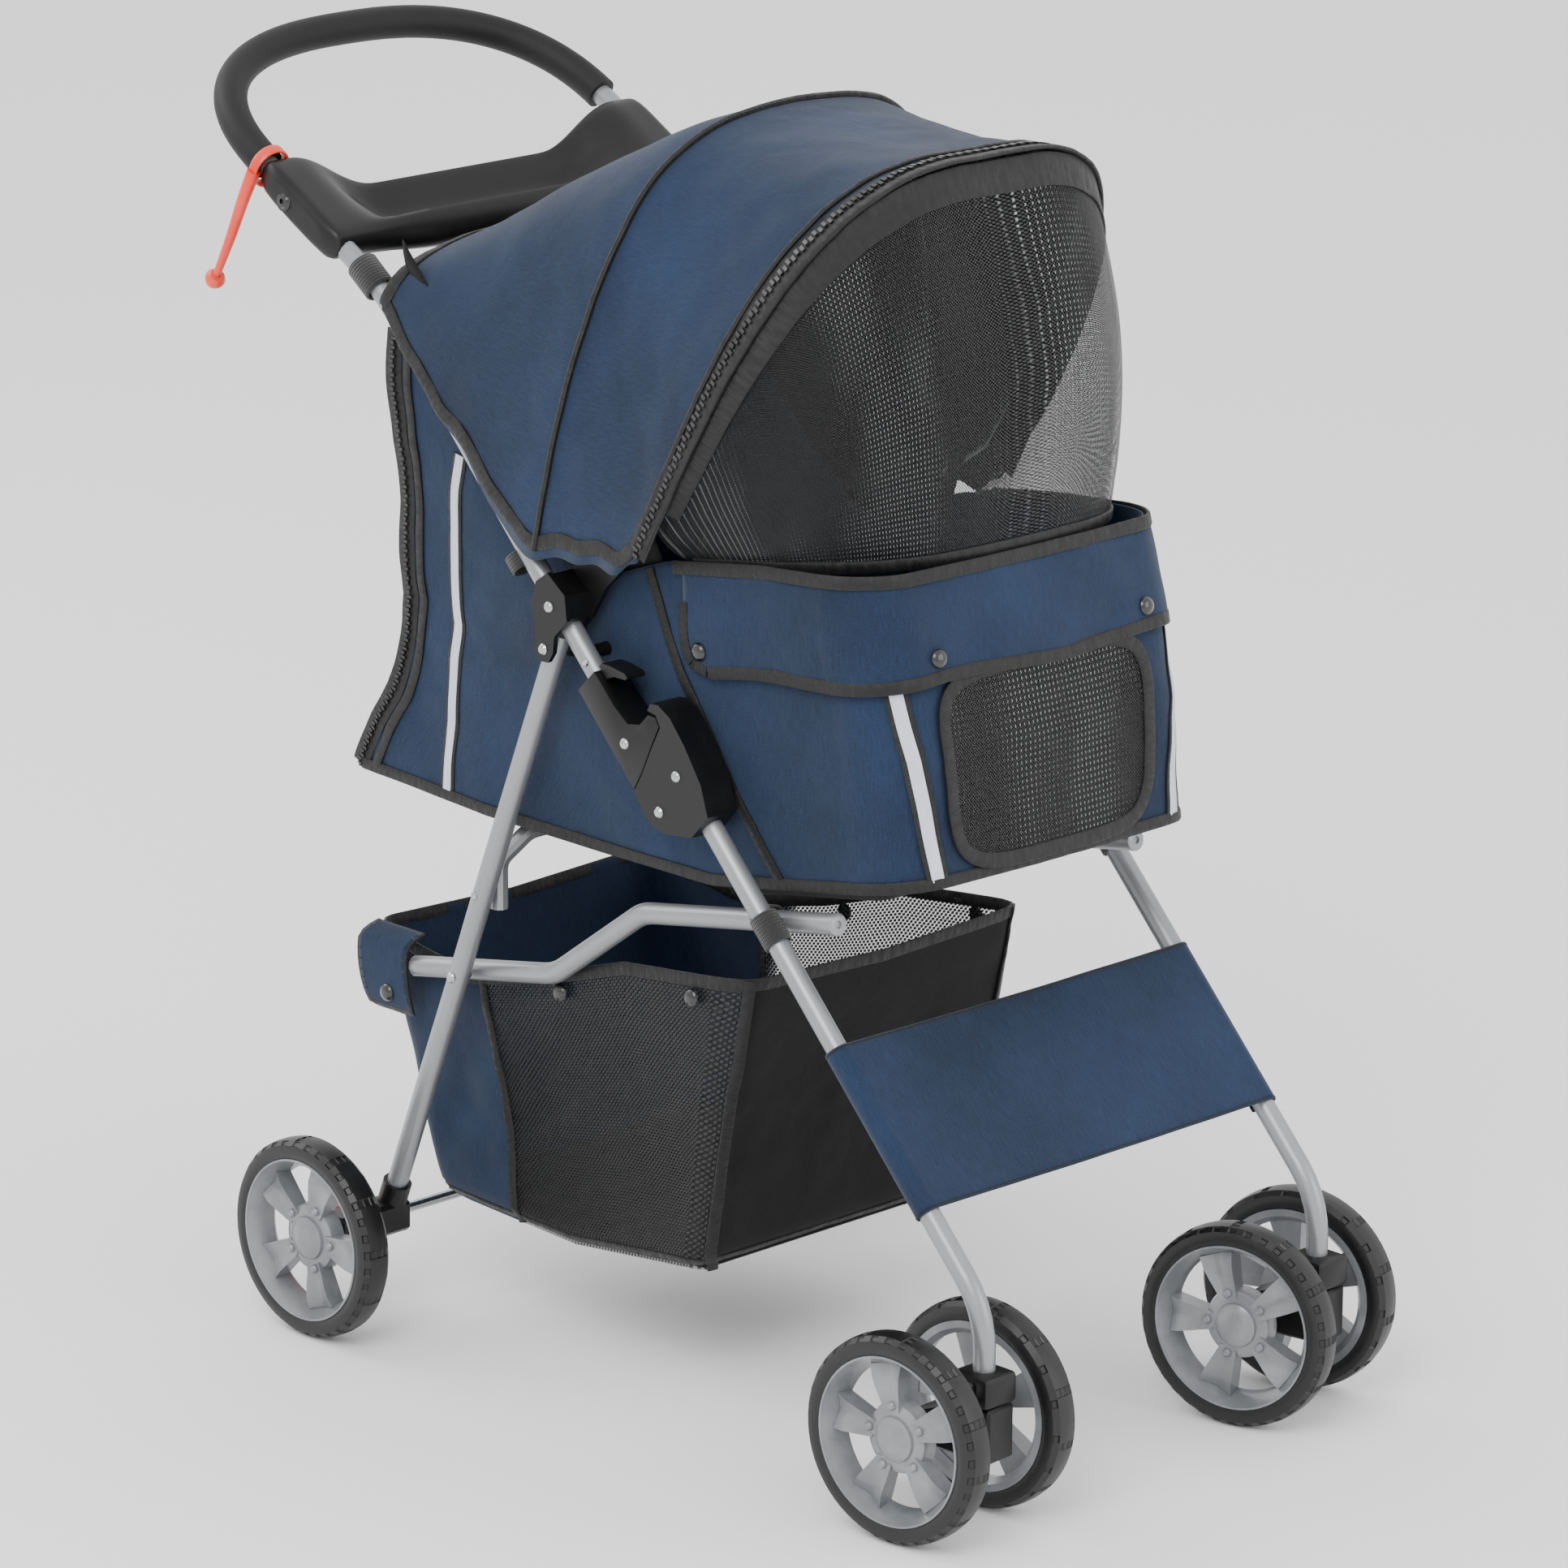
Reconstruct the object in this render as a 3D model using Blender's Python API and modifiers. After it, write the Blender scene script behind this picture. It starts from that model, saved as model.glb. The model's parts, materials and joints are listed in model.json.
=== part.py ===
"""Folding four-wheel pet stroller: tube frame, fabric cabin, canopy and basket.

Metres, +Z up.  The stroller faces -Y; its right-hand side is -X.  Side profiles are
laid out in the (y, z) plane, and the handle tube has its own (u, n) plane: u runs up
the tube from the fold pivot and n points forward and up, square to it.
"""
import math

import bmesh
import bpy
from mathutils import Matrix, Vector

MM = 0.001

# ---------------------------------------------------------------- overall sizes
HALF_TRACK = 170 * MM          # tube planes, from the centre line
WHEEL_RADIUS = 75 * MM
TYRE_WIDTH = 26 * MM
TUBE_RADIUS = 8 * MM
GAP = 0.3 * MM                 # running clearance between separate pieces
RIVET_RADIUS = 2.5 * MM
RIVET_HEAD = 4.2 * MM
RIVET_CLEAR = 0.3 * MM

# ---------------------------------------------------------------- side view of the frame
FOLD_PIVOT = (9 * MM, 452.6 * MM)
TUBE_SLOPE = 46.6              # degrees above level, handle tube and front tube
FRONT_TUBE_OFFSET = 25 * MM    # front tube axis ahead of the handle tube axis
FRONT_AXIS_Y = -300 * MM       # swivel axis of the casters
FRONT_TUBE_END_Z = 113 * MM
FRONT_BEND_RADIUS = 70 * MM
LEG_PIVOT = (128 * MM, 546.6 * MM)
REAR_AXLE = (313 * MM, WHEEL_RADIUS)
RAIL_ON_LEG = 0.569            # share of the leg's length down to the rail pivot
RAIL_PIVOT = (-86 * MM, 388.6 * MM)
RAIL_PATH = [(302, 265.3), (152, 294.0), (60, 360.8), (-134, 396.2)]
RAIL_INSET = 2 * TUBE_RADIUS + 4 * MM   # rail axis inboard of the leg axis

# ---------------------------------------------------------------- handle
HANDLE_BEND = (312 * MM, 773.5 * MM)
HANDLE_SLOPE = 30.0
HANDLE_REACH = 271 * MM        # bend to the crown of the bow
BOW_DEPTH = 124 * MM
FOAM_RADIUS = TUBE_RADIUS + 4.4 * MM
FOAM_START = 145 * MM          # from the bend, along the tube
TRAY_SLEEVE = (58 * MM, 134 * MM)

# ---------------------------------------------------------------- casters and rear wheels
TWIN_SPACING = 92 * MM
CASTER_TRAIL = 37 * MM
CASTER_YAW = {"right": -5.0, "left": -14.0}
REAR_WHEEL_OUTSET = 74 * MM    # wheel plane outboard of the leg plane
AXLE_RADIUS = 4 * MM
RIM_RADIUS = 62 * MM
WHEEL_STEPS = 20               # facets; one lies flat on the ground

# ---------------------------------------------------------------- soft parts
CABIN_HALF = HALF_TRACK - TUBE_RADIUS - 14 * MM
CANOPY_HALF = HALF_TRACK + TUBE_RADIUS + 4 * MM
SKIN = 2.4 * MM
BASKET_HALF = HALF_TRACK - RAIL_INSET - TUBE_RADIUS - 2 * MM
HOOP_RADIUS = 2.5 * MM
MID_HOOP_PIVOT = (112 * MM, 603 * MM)
FRONT_HOOP_PIVOT = (82 * MM, 611 * MM)

SIDES = (("right", -1), ("left", 1))

for old in list(bpy.data.objects):
    bpy.data.objects.remove(old, do_unlink=True)

PARTS = bpy.data.collections.new("pet_stroller")
bpy.context.scene.collection.children.link(PARTS)


# ================================================================ materials
def material(name, colour, roughness, metallic=0.0):
    mat = bpy.data.materials.new(name)
    mat.use_nodes = True
    shader = mat.node_tree.nodes["Principled BSDF"]
    shader.inputs["Base Color"].default_value = (*colour, 1.0)
    shader.inputs["Roughness"].default_value = roughness
    shader.inputs["Metallic"].default_value = metallic
    mat.diffuse_color = (*colour, 1.0)
    return mat


SILVER = ((0.50, 0.51, 0.53), 0.32, 0.7)
PLASTIC = ((0.018, 0.017, 0.017), 0.45)
RUBBER = ((0.022, 0.022, 0.024), 0.62)
RIM_GREY = ((0.36, 0.37, 0.38), 0.38, 0.25)
FOAM = ((0.032, 0.030, 0.030), 0.7)
BLUE = ((0.028, 0.078, 0.175), 0.85)
BLACK_CLOTH = ((0.014, 0.014, 0.016), 0.8)
STEEL = ((0.62, 0.62, 0.62), 0.28, 1.0)
RED = ((0.85, 0.07, 0.04), 0.5)


# ================================================================ building blocks
def unit(angle):
    return Vector((math.cos(math.radians(angle)), math.sin(math.radians(angle))))


U_DIR = unit(TUBE_SLOPE)
N_DIR = Vector((-U_DIR.y, U_DIR.x))
A = Vector(FOLD_PIVOT)


def on_tube(u, n):
    """Side-view point from handle tube coordinates."""
    return A + U_DIR * u + N_DIR * n


def register(name, mesh, look, smooth=True):
    obj = bpy.data.objects.new(name, mesh)
    PARTS.objects.link(obj)
    mesh.materials.clear()
    mesh.materials.append(material(name, *look))
    if smooth:
        mesh.shade_smooth()
        mesh.set_sharp_from_angle(angle=math.radians(35))
    return obj


def clean(mesh, merge=1e-6):
    bm = bmesh.new()
    bm.from_mesh(mesh)
    bmesh.ops.remove_doubles(bm, verts=bm.verts, dist=merge)
    bmesh.ops.dissolve_degenerate(bm, edges=bm.edges, dist=1e-7)
    bmesh.ops.recalc_face_normals(bm, faces=bm.faces)
    bm.to_mesh(mesh)
    bm.free()
    mesh.update()
    return mesh


def curve_mesh(curve, name):
    """Turns a curve into a welded mesh."""
    holder = bpy.data.objects.new(name + "_curve", curve)
    PARTS.objects.link(holder)
    bpy.context.view_layer.update()
    mesh = bpy.data.meshes.new_from_object(holder)
    mesh.name = name
    bpy.data.objects.remove(holder, do_unlink=True)
    bpy.data.curves.remove(curve)
    return clean(mesh, 1e-5)


def sweep(name, points, radius, resolution=4):
    """Round rod along a list of 3-D points."""
    curve = bpy.data.curves.new(name, "CURVE")
    curve.dimensions = "3D"
    curve.bevel_depth = radius
    curve.bevel_resolution = resolution
    curve.use_fill_caps = True
    spline = curve.splines.new("POLY")
    spline.points.add(len(points) - 1)
    for slot, point in zip(spline.points, points):
        slot.co = (*point, 1.0)
    return curve_mesh(curve, name)


def prism(name, outlines, x0, x1):
    """Side-view outlines (the first is the edge, the rest are holes), thick along X."""
    curve = bpy.data.curves.new(name, "CURVE")
    curve.dimensions = "2D"
    curve.fill_mode = "BOTH"
    curve.extrude = abs(x1 - x0) / 2
    for outline in outlines:
        spline = curve.splines.new("POLY")
        spline.points.add(len(outline) - 1)
        spline.use_cyclic_u = True
        for slot, point in zip(spline.points, outline):
            slot.co = (point[0], point[1], 0.0, 1.0)
    mesh = curve_mesh(curve, name)
    # local x -> world y, local y -> world z, local z -> world x
    turn = Matrix(((0, 0, 1, (x0 + x1) / 2), (1, 0, 0, 0), (0, 1, 0, 0), (0, 0, 0, 1)))
    mesh.transform(turn)
    return clean(mesh)


def plan_prism(name, outline, z0, z1):
    """Plan-view outline of (x, y) points, thick along Z."""
    mesh = prism(name, [outline], z0, z1)
    mesh.transform(Matrix(((0, 1, 0, 0), (0, 0, 1, 0), (1, 0, 0, 0), (0, 0, 0, 1))))
    return clean(mesh)


def box(name, low, high):
    bm = bmesh.new()
    bmesh.ops.create_cube(bm, size=1.0)
    low, high = Vector(low), Vector(high)
    span = high - low
    bmesh.ops.transform(bm, verts=bm.verts,
                        matrix=Matrix.Translation((low + high) / 2) @ Matrix.Diagonal((*span, 1.0)))
    mesh = bpy.data.meshes.new(name)
    bm.to_mesh(mesh)
    bm.free()
    return clean(mesh)


def rod_x(name, y, z, radius, x0, x1, steps=16):
    """Cylinder along X."""
    bm = bmesh.new()
    bmesh.ops.create_cone(bm, cap_ends=True, segments=steps, radius1=radius, radius2=radius,
                          depth=abs(x1 - x0))
    place = Matrix.Translation(((x0 + x1) / 2, y, z)) @ Matrix.Rotation(math.pi / 2, 4, "Y")
    bmesh.ops.transform(bm, verts=bm.verts, matrix=place)
    mesh = bpy.data.meshes.new(name)
    bm.to_mesh(mesh)
    bm.free()
    return clean(mesh)


def lathe(name, profile, steps, closed, flat_down=False):
    """Profile of (radius, x) points turned about X; flat_down sets one facet level at the bottom."""
    bm = bmesh.new()
    if flat_down:
        profile = [(r / math.cos(math.pi / steps), h) for r, h in profile]
    verts = [bm.verts.new((r, 0.0, h)) for r, h in profile]
    for first, second in zip(verts, verts[1:]):
        bm.edges.new((first, second))
    if closed:
        bm.edges.new((verts[-1], verts[0]))
    mesh = bpy.data.meshes.new(name)
    bm.to_mesh(mesh)
    bm.free()
    holder = bpy.data.objects.new(name + "_profile", mesh)
    PARTS.objects.link(holder)
    screw = holder.modifiers.new("turn", "SCREW")
    screw.steps = steps
    screw.render_steps = steps
    screw.use_merge_vertices = True
    screw.merge_threshold = 1e-5
    screw.use_normal_calculate = True
    result = baked(holder)
    bpy.data.objects.remove(holder, do_unlink=True)
    result.transform(Matrix.Rotation(math.pi / 2, 4, "Y"))
    if flat_down:
        result.transform(Matrix.Rotation(math.pi / steps, 4, "X"))
    return clean(result)


def baked(obj):
    bpy.context.view_layer.update()
    graph = bpy.context.evaluated_depsgraph_get()
    return bpy.data.meshes.new_from_object(obj.evaluated_get(graph))


def combine(mesh, other, operation, solver="EXACT"):
    """Boolean of two meshes; both inputs are used up."""
    base = bpy.data.objects.new("base", mesh)
    tool = bpy.data.objects.new("tool", other)
    PARTS.objects.link(base)
    PARTS.objects.link(tool)
    step = base.modifiers.new("bool", "BOOLEAN")
    step.operation = operation
    step.solver = solver
    step.object = tool
    result = baked(base)
    bpy.data.objects.remove(base, do_unlink=True)
    bpy.data.objects.remove(tool, do_unlink=True)
    return clean(result, 2e-6)


def softened(mesh, width, segments=2, angle=50):
    """Rounds the hard edges of a mesh."""
    holder = bpy.data.objects.new("soft", mesh)
    PARTS.objects.link(holder)
    step = holder.modifiers.new("round", "BEVEL")
    step.width = width
    step.segments = segments
    step.limit_method = "ANGLE"
    step.angle_limit = math.radians(angle)
    step.use_clamp_overlap = True
    result = baked(holder)
    bpy.data.objects.remove(holder, do_unlink=True)
    return clean(result)


def drilled(mesh, point, sign, x0=120 * MM, x1=240 * MM):
    """Cuts a rivet hole along X on one side of the stroller."""
    hole = rod_x("hole", point[0], point[1], RIVET_RADIUS + RIVET_CLEAR, sign * x0, sign * x1, 12)
    return combine(mesh, hole, "DIFFERENCE")


def arc_path(points, radii, steps=5):
    """Polyline with a round fillet at each inner corner."""
    path = [Vector(points[0])]
    for index in range(1, len(points) - 1):
        before, corner, after = (Vector(points[index + k]) for k in (-1, 0, 1))
        to_before = (before - corner).normalized()
        to_after = (after - corner).normalized()
        half = to_before.angle(to_after) / 2
        reach = radii[index - 1] / math.tan(half)
        start, end = corner + to_before * reach, corner + to_after * reach
        middle = corner + (to_before + to_after).normalized() * (radii[index - 1] / math.sin(half))
        first, last = (start - middle).normalized(), (end - middle).normalized()
        for step in range(steps + 1):
            path.append(middle + first.slerp(last, step / steps, first) * radii[index - 1])
    path.append(Vector(points[-1]))
    return path


def in_side(x, points):
    return [Vector((x, p[0], p[1])) for p in points]


def set_origin(obj, point):
    obj.data.transform(Matrix.Translation(-Vector(point)))
    obj.location = point


# ================================================================ derived points
FRONT_LINE = on_tube(0, FRONT_TUBE_OFFSET)
LEG_DIR = (Vector(REAR_AXLE) - Vector(LEG_PIVOT)).normalized()
LEG_LENGTH = (Vector(REAR_AXLE) - Vector(LEG_PIVOT)).length
C_PIVOT = Vector(LEG_PIVOT) + LEG_DIR * LEG_LENGTH * RAIL_ON_LEG
REACH_DIR = unit(HANDLE_SLOPE)


def handle_point(s):
    """Side-view point on the handle beyond its bend."""
    return Vector(HANDLE_BEND) + REACH_DIR * s


def rivet(name, point, sign, inner, outer):
    """Headed rivet along X between two faces."""
    head = 2.2 * MM
    length = outer - inner
    profile = [(0, -head), (RIVET_HEAD * 0.7, -head * 0.8), (RIVET_HEAD, -GAP), (RIVET_RADIUS, -GAP),
               (RIVET_RADIUS, length + GAP), (RIVET_HEAD, length + GAP),
               (RIVET_HEAD * 0.7, length + head * 0.8), (0, length + head)]
    mesh = lathe(name, profile, 12, False)
    if sign < 0:
        mesh.transform(Matrix.Diagonal((-1, 1, 1, 1)))
    mesh.transform(Matrix.Translation((sign * inner, point[0], point[1])))
    obj = register(name, clean(mesh), STEEL)
    set_origin(obj, (sign * (inner + outer) / 2, point[0], point[1]))
    return obj


# ================================================================ frame tubes
def front_tube(side, sign):
    """Lower tube: from inside the lock housing down to the caster cap."""
    x = sign * HALF_TRACK
    top = on_tube(24 * MM, FRONT_TUBE_OFFSET)
    turn = FRONT_LINE + U_DIR * ((FRONT_AXIS_Y - FRONT_LINE.x) / U_DIR.x)
    path = arc_path(in_side(x, [top, turn, (FRONT_AXIS_Y, FRONT_TUBE_END_Z)]), [FRONT_BEND_RADIUS])
    mesh = sweep("front_tube_" + side, path, TUBE_RADIUS)
    mesh = drilled(mesh, RAIL_PIVOT, sign)
    return register("front_tube_" + side, mesh, SILVER)


def rear_leg(side, sign):
    x = sign * HALF_TRACK
    top = Vector(LEG_PIVOT) - LEG_DIR * (27 * MM - 2 * TUBE_RADIUS)
    end = Vector(REAR_AXLE) - LEG_DIR * 9 * MM
    mesh = sweep("rear_leg_" + side, in_side(x, [top, end]), TUBE_RADIUS)
    mesh = drilled(mesh, LEG_PIVOT, sign)
    mesh = drilled(mesh, C_PIVOT, sign)
    obj = register("rear_leg_" + side, mesh, SILVER)
    set_origin(obj, (x, *LEG_PIVOT))
    return obj


def rail(side, sign):
    """Side rail under the cabin, with its two bends."""
    x = sign * (HALF_TRACK - RAIL_INSET)
    points = [(p[0] * MM, p[1] * MM) for p in RAIL_PATH]
    path = arc_path(in_side(x, points), [45 * MM, 45 * MM], 4)
    mesh = sweep("rail_" + side, path, TUBE_RADIUS)
    mesh = drilled(mesh, RAIL_PIVOT, sign)
    obj = register("rail_" + side, mesh, SILVER)
    set_origin(obj, (x, *RAIL_PIVOT))
    return obj


def handle_path(margin=0.0):
    """Centre line of the bowed end, right side to left side."""
    start = HANDLE_REACH - BOW_DEPTH
    points = []
    steps = 18
    for step in range(steps + 1):
        angle = math.pi * step / steps
        side = -math.copysign(abs(math.cos(angle)) ** 0.80, math.cos(angle))
        depth = abs(math.sin(angle)) ** 0.86
        y, z = handle_point(start + BOW_DEPTH * depth)
        points.append(Vector((side * HALF_TRACK, y, z)))
    return points


def handle_tube():
    """One tube: up the right side, round the bow and down the left."""
    low = on_tube(-9 * MM, 0)
    half = arc_path(in_side(-HALF_TRACK, [low, HANDLE_BEND, handle_point(HANDLE_REACH - BOW_DEPTH)]),
                    [150 * MM], 4)
    bow = handle_path()
    other = [Vector((-p.x, p.y, p.z)) for p in reversed(half)]
    mesh = sweep("handle_tube", half + bow[1:-1] + other, TUBE_RADIUS)
    for _, sign in SIDES:
        mesh = drilled(mesh, A, sign)
    return register("handle_tube", mesh, SILVER)


def handle_foam():
    """Thick grip round the bowed end, its ends square to the tube."""
    start = handle_point(FOAM_START)
    stub = Vector((-HALF_TRACK, start.x, start.y))
    bow = handle_path()
    path = [stub] + bow + [Vector((-stub.x, stub.y, stub.z))]
    mesh = sweep("handle_foam", path, FOAM_RADIUS, 3)
    longer = handle_point(FOAM_START - 20 * MM)
    end = Vector((-HALF_TRACK, longer.x, longer.y))
    core = sweep("core", [end] + bow + [Vector((-end.x, end.y, end.z))], TUBE_RADIUS + GAP)
    mesh = combine(mesh, core, "DIFFERENCE")
    return register("handle_foam", mesh, FOAM)


# ================================================================ fold lock and brackets
LOCK_IN, LOCK_OUT = HALF_TRACK - TUBE_RADIUS - 6 * MM, HALF_TRACK + TUBE_RADIUS + 6 * MM
CHEEK = 3.8 * MM

UPPER_OUTLINE = [(109, -11), (110, 12.5), (80, 13), (64, 16), (57, 26), (57.5, 38), (52, 43.5),
                 (45, 42), (39, 26), (30, 4), (25.5, -11)]
LOWER_OUTLINE = [(60, 40), (62, 46), (57, 52), (44, 56), (22, 55), (-8, 50), (-29, 40), (-31, 16),
                 (-22, 4), (-14, -6), (-6, -12), (6, -14), (24.4, -12), (29, 3.5), (38, 26), (44, 43),
                 (53, 45)]
CORE_OUTLINE = [(60, 40), (62, 46), (57, 52), (44, 56), (22, 55), (-8, 50), (-29, 40), (-31, 16),
                (-22, 13.5), (32, 13.5), (38, 26), (44, 43), (53, 45)]
TRIGGER_OUTLINE = [(112, 14.2), (112, 18), (106, 24), (94, 33), (90, 33), (90, 30.5), (98, 22),
                   (101, 14.2)]
BRACKET_OUTER = [(190, 6), (182, -9), (164, -20), (156, -30), (146, -31), (140, -24), (142, -15),
                 (150, -6), (151, 13), (166, 24), (188, 20)]
BRACKET_INNER = [(190, 6), (182, -9), (164, -20), (156, -30), (146, -31), (140, -24), (142, -15),
                 (150, -6), (151, 13), (158, 40), (158, 56), (168, 63), (178, 58), (186, 34), (188, 20)]
WEB_FOOT = TUBE_RADIUS / MM + 1
BRACKET_WEB = [(152, WEB_FOOT), (152, 13), (166, 23), (187, 19), (189, WEB_FOOT)]


def tube_outline(points):
    return [on_tube(u * MM, n * MM) for u, n in points]


def bore_along(u0, u1, n, sign, radius):
    ends = [on_tube(u0, n), on_tube(u1, n)]
    return sweep("bore", in_side(sign * HALF_TRACK, ends), radius)


def lock_lower(side, sign):
    """Housing on the front tube: two cheeks round the pivot and a solid nose."""
    mesh = prism("cheek", [tube_outline(LOWER_OUTLINE)], sign * (LOCK_OUT - CHEEK), sign * LOCK_OUT)
    other = prism("cheek", [tube_outline(LOWER_OUTLINE)], sign * LOCK_IN, sign * (LOCK_IN + CHEEK))
    core = prism("core", [tube_outline(CORE_OUTLINE)], sign * (LOCK_IN + 1 * MM), sign * (LOCK_OUT - 1 * MM))
    mesh = combine(mesh, core, "UNION")
    mesh = combine(mesh, other, "UNION")
    bore = bore_along(-60 * MM, 24.5 * MM, FRONT_TUBE_OFFSET, sign, TUBE_RADIUS + GAP)
    mesh = combine(mesh, bore, "DIFFERENCE")
    mesh = drilled(mesh, A, sign)
    obj = register("lock_lower_" + side, mesh, PLASTIC)
    return obj


def lock_upper(side, sign):
    """Sleeve on the handle tube that closes against the lower housing."""
    mesh = prism("lock_upper", [tube_outline(UPPER_OUTLINE)], sign * LOCK_IN, sign * LOCK_OUT)
    mesh = softened(mesh, 3 * MM)
    bore = bore_along(0, 130 * MM, 0, sign, TUBE_RADIUS + GAP)
    mesh = combine(mesh, bore, "DIFFERENCE")
    return register("lock_upper_" + side, mesh, PLASTIC)


def lock_trigger(side, sign):
    """Finger lever on the front of the sleeve."""
    mesh = prism("trigger", [tube_outline(TRIGGER_OUTLINE)], sign * (HALF_TRACK - 9 * MM),
                 sign * (HALF_TRACK + 9 * MM))
    mesh = softened(mesh, 0.8 * MM, 1)
    obj = register("lock_trigger_" + side, mesh, PLASTIC)
    set_origin(obj, (sign * HALF_TRACK, *on_tube(108 * MM, 16 * MM)))
    return obj


def bracket(side, sign):
    """Two plates and a front web round the handle tube; the inner plate carries the hoops."""
    outer = prism("plate", [tube_outline(BRACKET_OUTER)], sign * (LOCK_OUT - CHEEK), sign * LOCK_OUT)
    inner = prism("plate", [tube_outline(BRACKET_INNER)], sign * LOCK_IN, sign * (LOCK_IN + CHEEK))
    web = prism("web", [tube_outline(BRACKET_WEB)], sign * (LOCK_IN + 1 * MM), sign * (LOCK_OUT - 1 * MM))
    mesh = combine(outer, web, "UNION")
    mesh = combine(mesh, inner, "UNION")
    mesh = drilled(mesh, LEG_PIVOT, sign)
    return register("bracket_" + side, mesh, PLASTIC)


def spacer_peg(side, sign):
    y, z = on_tube(130 * MM, 0)
    start = HALF_TRACK - TUBE_RADIUS - GAP
    mesh = rod_x("peg", y, z, 5 * MM, sign * (CABIN_HALF + GAP), sign * start, 14)
    return register("spacer_peg_" + side, mesh, PLASTIC)


# ================================================================ tray
def tray():
    """Shallow bin between the handle tubes with a sleeve round each."""
    y0, y1 = 344 * MM, 424 * MM
    half = HALF_TRACK - TUBE_RADIUS
    mesh = box("tray", (-half, y0, 786 * MM), (half, y1, 824 * MM))
    mesh = softened(mesh, 6 * MM, 2)
    for _, sign in SIDES:
        ends = [handle_point(TRAY_SLEEVE[0]), handle_point(TRAY_SLEEVE[1])]
        sleeve = sweep("sleeve", in_side(sign * HALF_TRACK, ends), TUBE_RADIUS + 5 * MM)
        mesh = combine(mesh, sleeve, "UNION")
    well = box("well", (-half + 16 * MM, y0 + 7 * MM, 794 * MM), (half - 16 * MM, y1 - 7 * MM, 900 * MM))
    mesh = combine(mesh, well, "DIFFERENCE")
    for _, sign in SIDES:
        line = in_side(sign * HALF_TRACK, [on_tube(300 * MM, 0), HANDLE_BEND, handle_point(180 * MM)])
        bore = sweep("bore", arc_path(line, [150 * MM], 4), TUBE_RADIUS + GAP)
        mesh = combine(mesh, bore, "DIFFERENCE")
    return register("tray", mesh, PLASTIC)


# ================================================================ wheels and casters
def tyre_mesh():
    w = TYRE_WIDTH / 2
    r = WHEEL_RADIUS
    inner = RIM_RADIUS + GAP
    profile = [(inner, -w + 2 * MM), (inner + 4 * MM, -w), (r - 3.2 * MM, -w + 1 * MM), (r, -w + 5.5 * MM),
               (r, w - 5.5 * MM), (r - 3.2 * MM, w - 1 * MM), (inner + 4 * MM, w), (inner, w - 2 * MM)]
    return lathe("tyre", profile, WHEEL_STEPS, True, True)


def rim_mesh():
    """Rim, five-window web and hub; the hub cap is at +X and the bore opens at -X."""
    w = TYRE_WIDTH / 2
    profile = [(0, w - 1 * MM), (14 * MM, w - 1 * MM), (16 * MM, 3 * MM), (56 * MM, 1 * MM), (58 * MM, w - 1 * MM),
               (RIM_RADIUS, w - 2 * MM), (RIM_RADIUS, -w + 2 * MM), (58 * MM, -w + 1 * MM), (56 * MM, -5 * MM),
               (13 * MM, -5 * MM), (13 * MM, -w - 2 * MM), (AXLE_RADIUS + GAP, -w - 2 * MM),
               (AXLE_RADIUS + GAP, 6 * MM), (0, 6 * MM)]
    mesh = lathe("rim", profile, WHEEL_STEPS, False, True)
    for window in range(5):
        outline = []
        for radius, spread in ((21, 10), (52, 21), (52, -21), (21, -10)):
            steps = (0.0,) if radius == 21 else (0.0, 0.5)
            for part in steps:
                angle = math.radians(90 + 72 * window + spread * (1 - 2 * part * (spread > 0)))
                if radius == 52 and spread < 0 and part:
                    continue
                outline.append((radius * MM * math.cos(angle), radius * MM * math.sin(angle)))
        cutter = prism("window", [outline], -20 * MM, 20 * MM)
        mesh = combine(mesh, cutter, "DIFFERENCE")
    return mesh


TYRE = tyre_mesh()
RIM = rim_mesh()


def wheel(tag, centre, outward, yaw=0.0):
    """Tyre and rim; the hub cap faces outward (+1 for +X)."""
    place = Matrix.Rotation(math.radians(-yaw), 4, "Z")
    if outward < 0:
        place = place @ Matrix.Rotation(math.pi, 4, "Z")
    for kind, mesh, look in (("tyre", TYRE, RUBBER), ("rim", RIM, RIM_GREY)):
        copy = mesh.copy()
        copy.transform(place)
        obj = register(kind + "_" + tag, clean(copy), look)
        obj.location = centre


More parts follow.
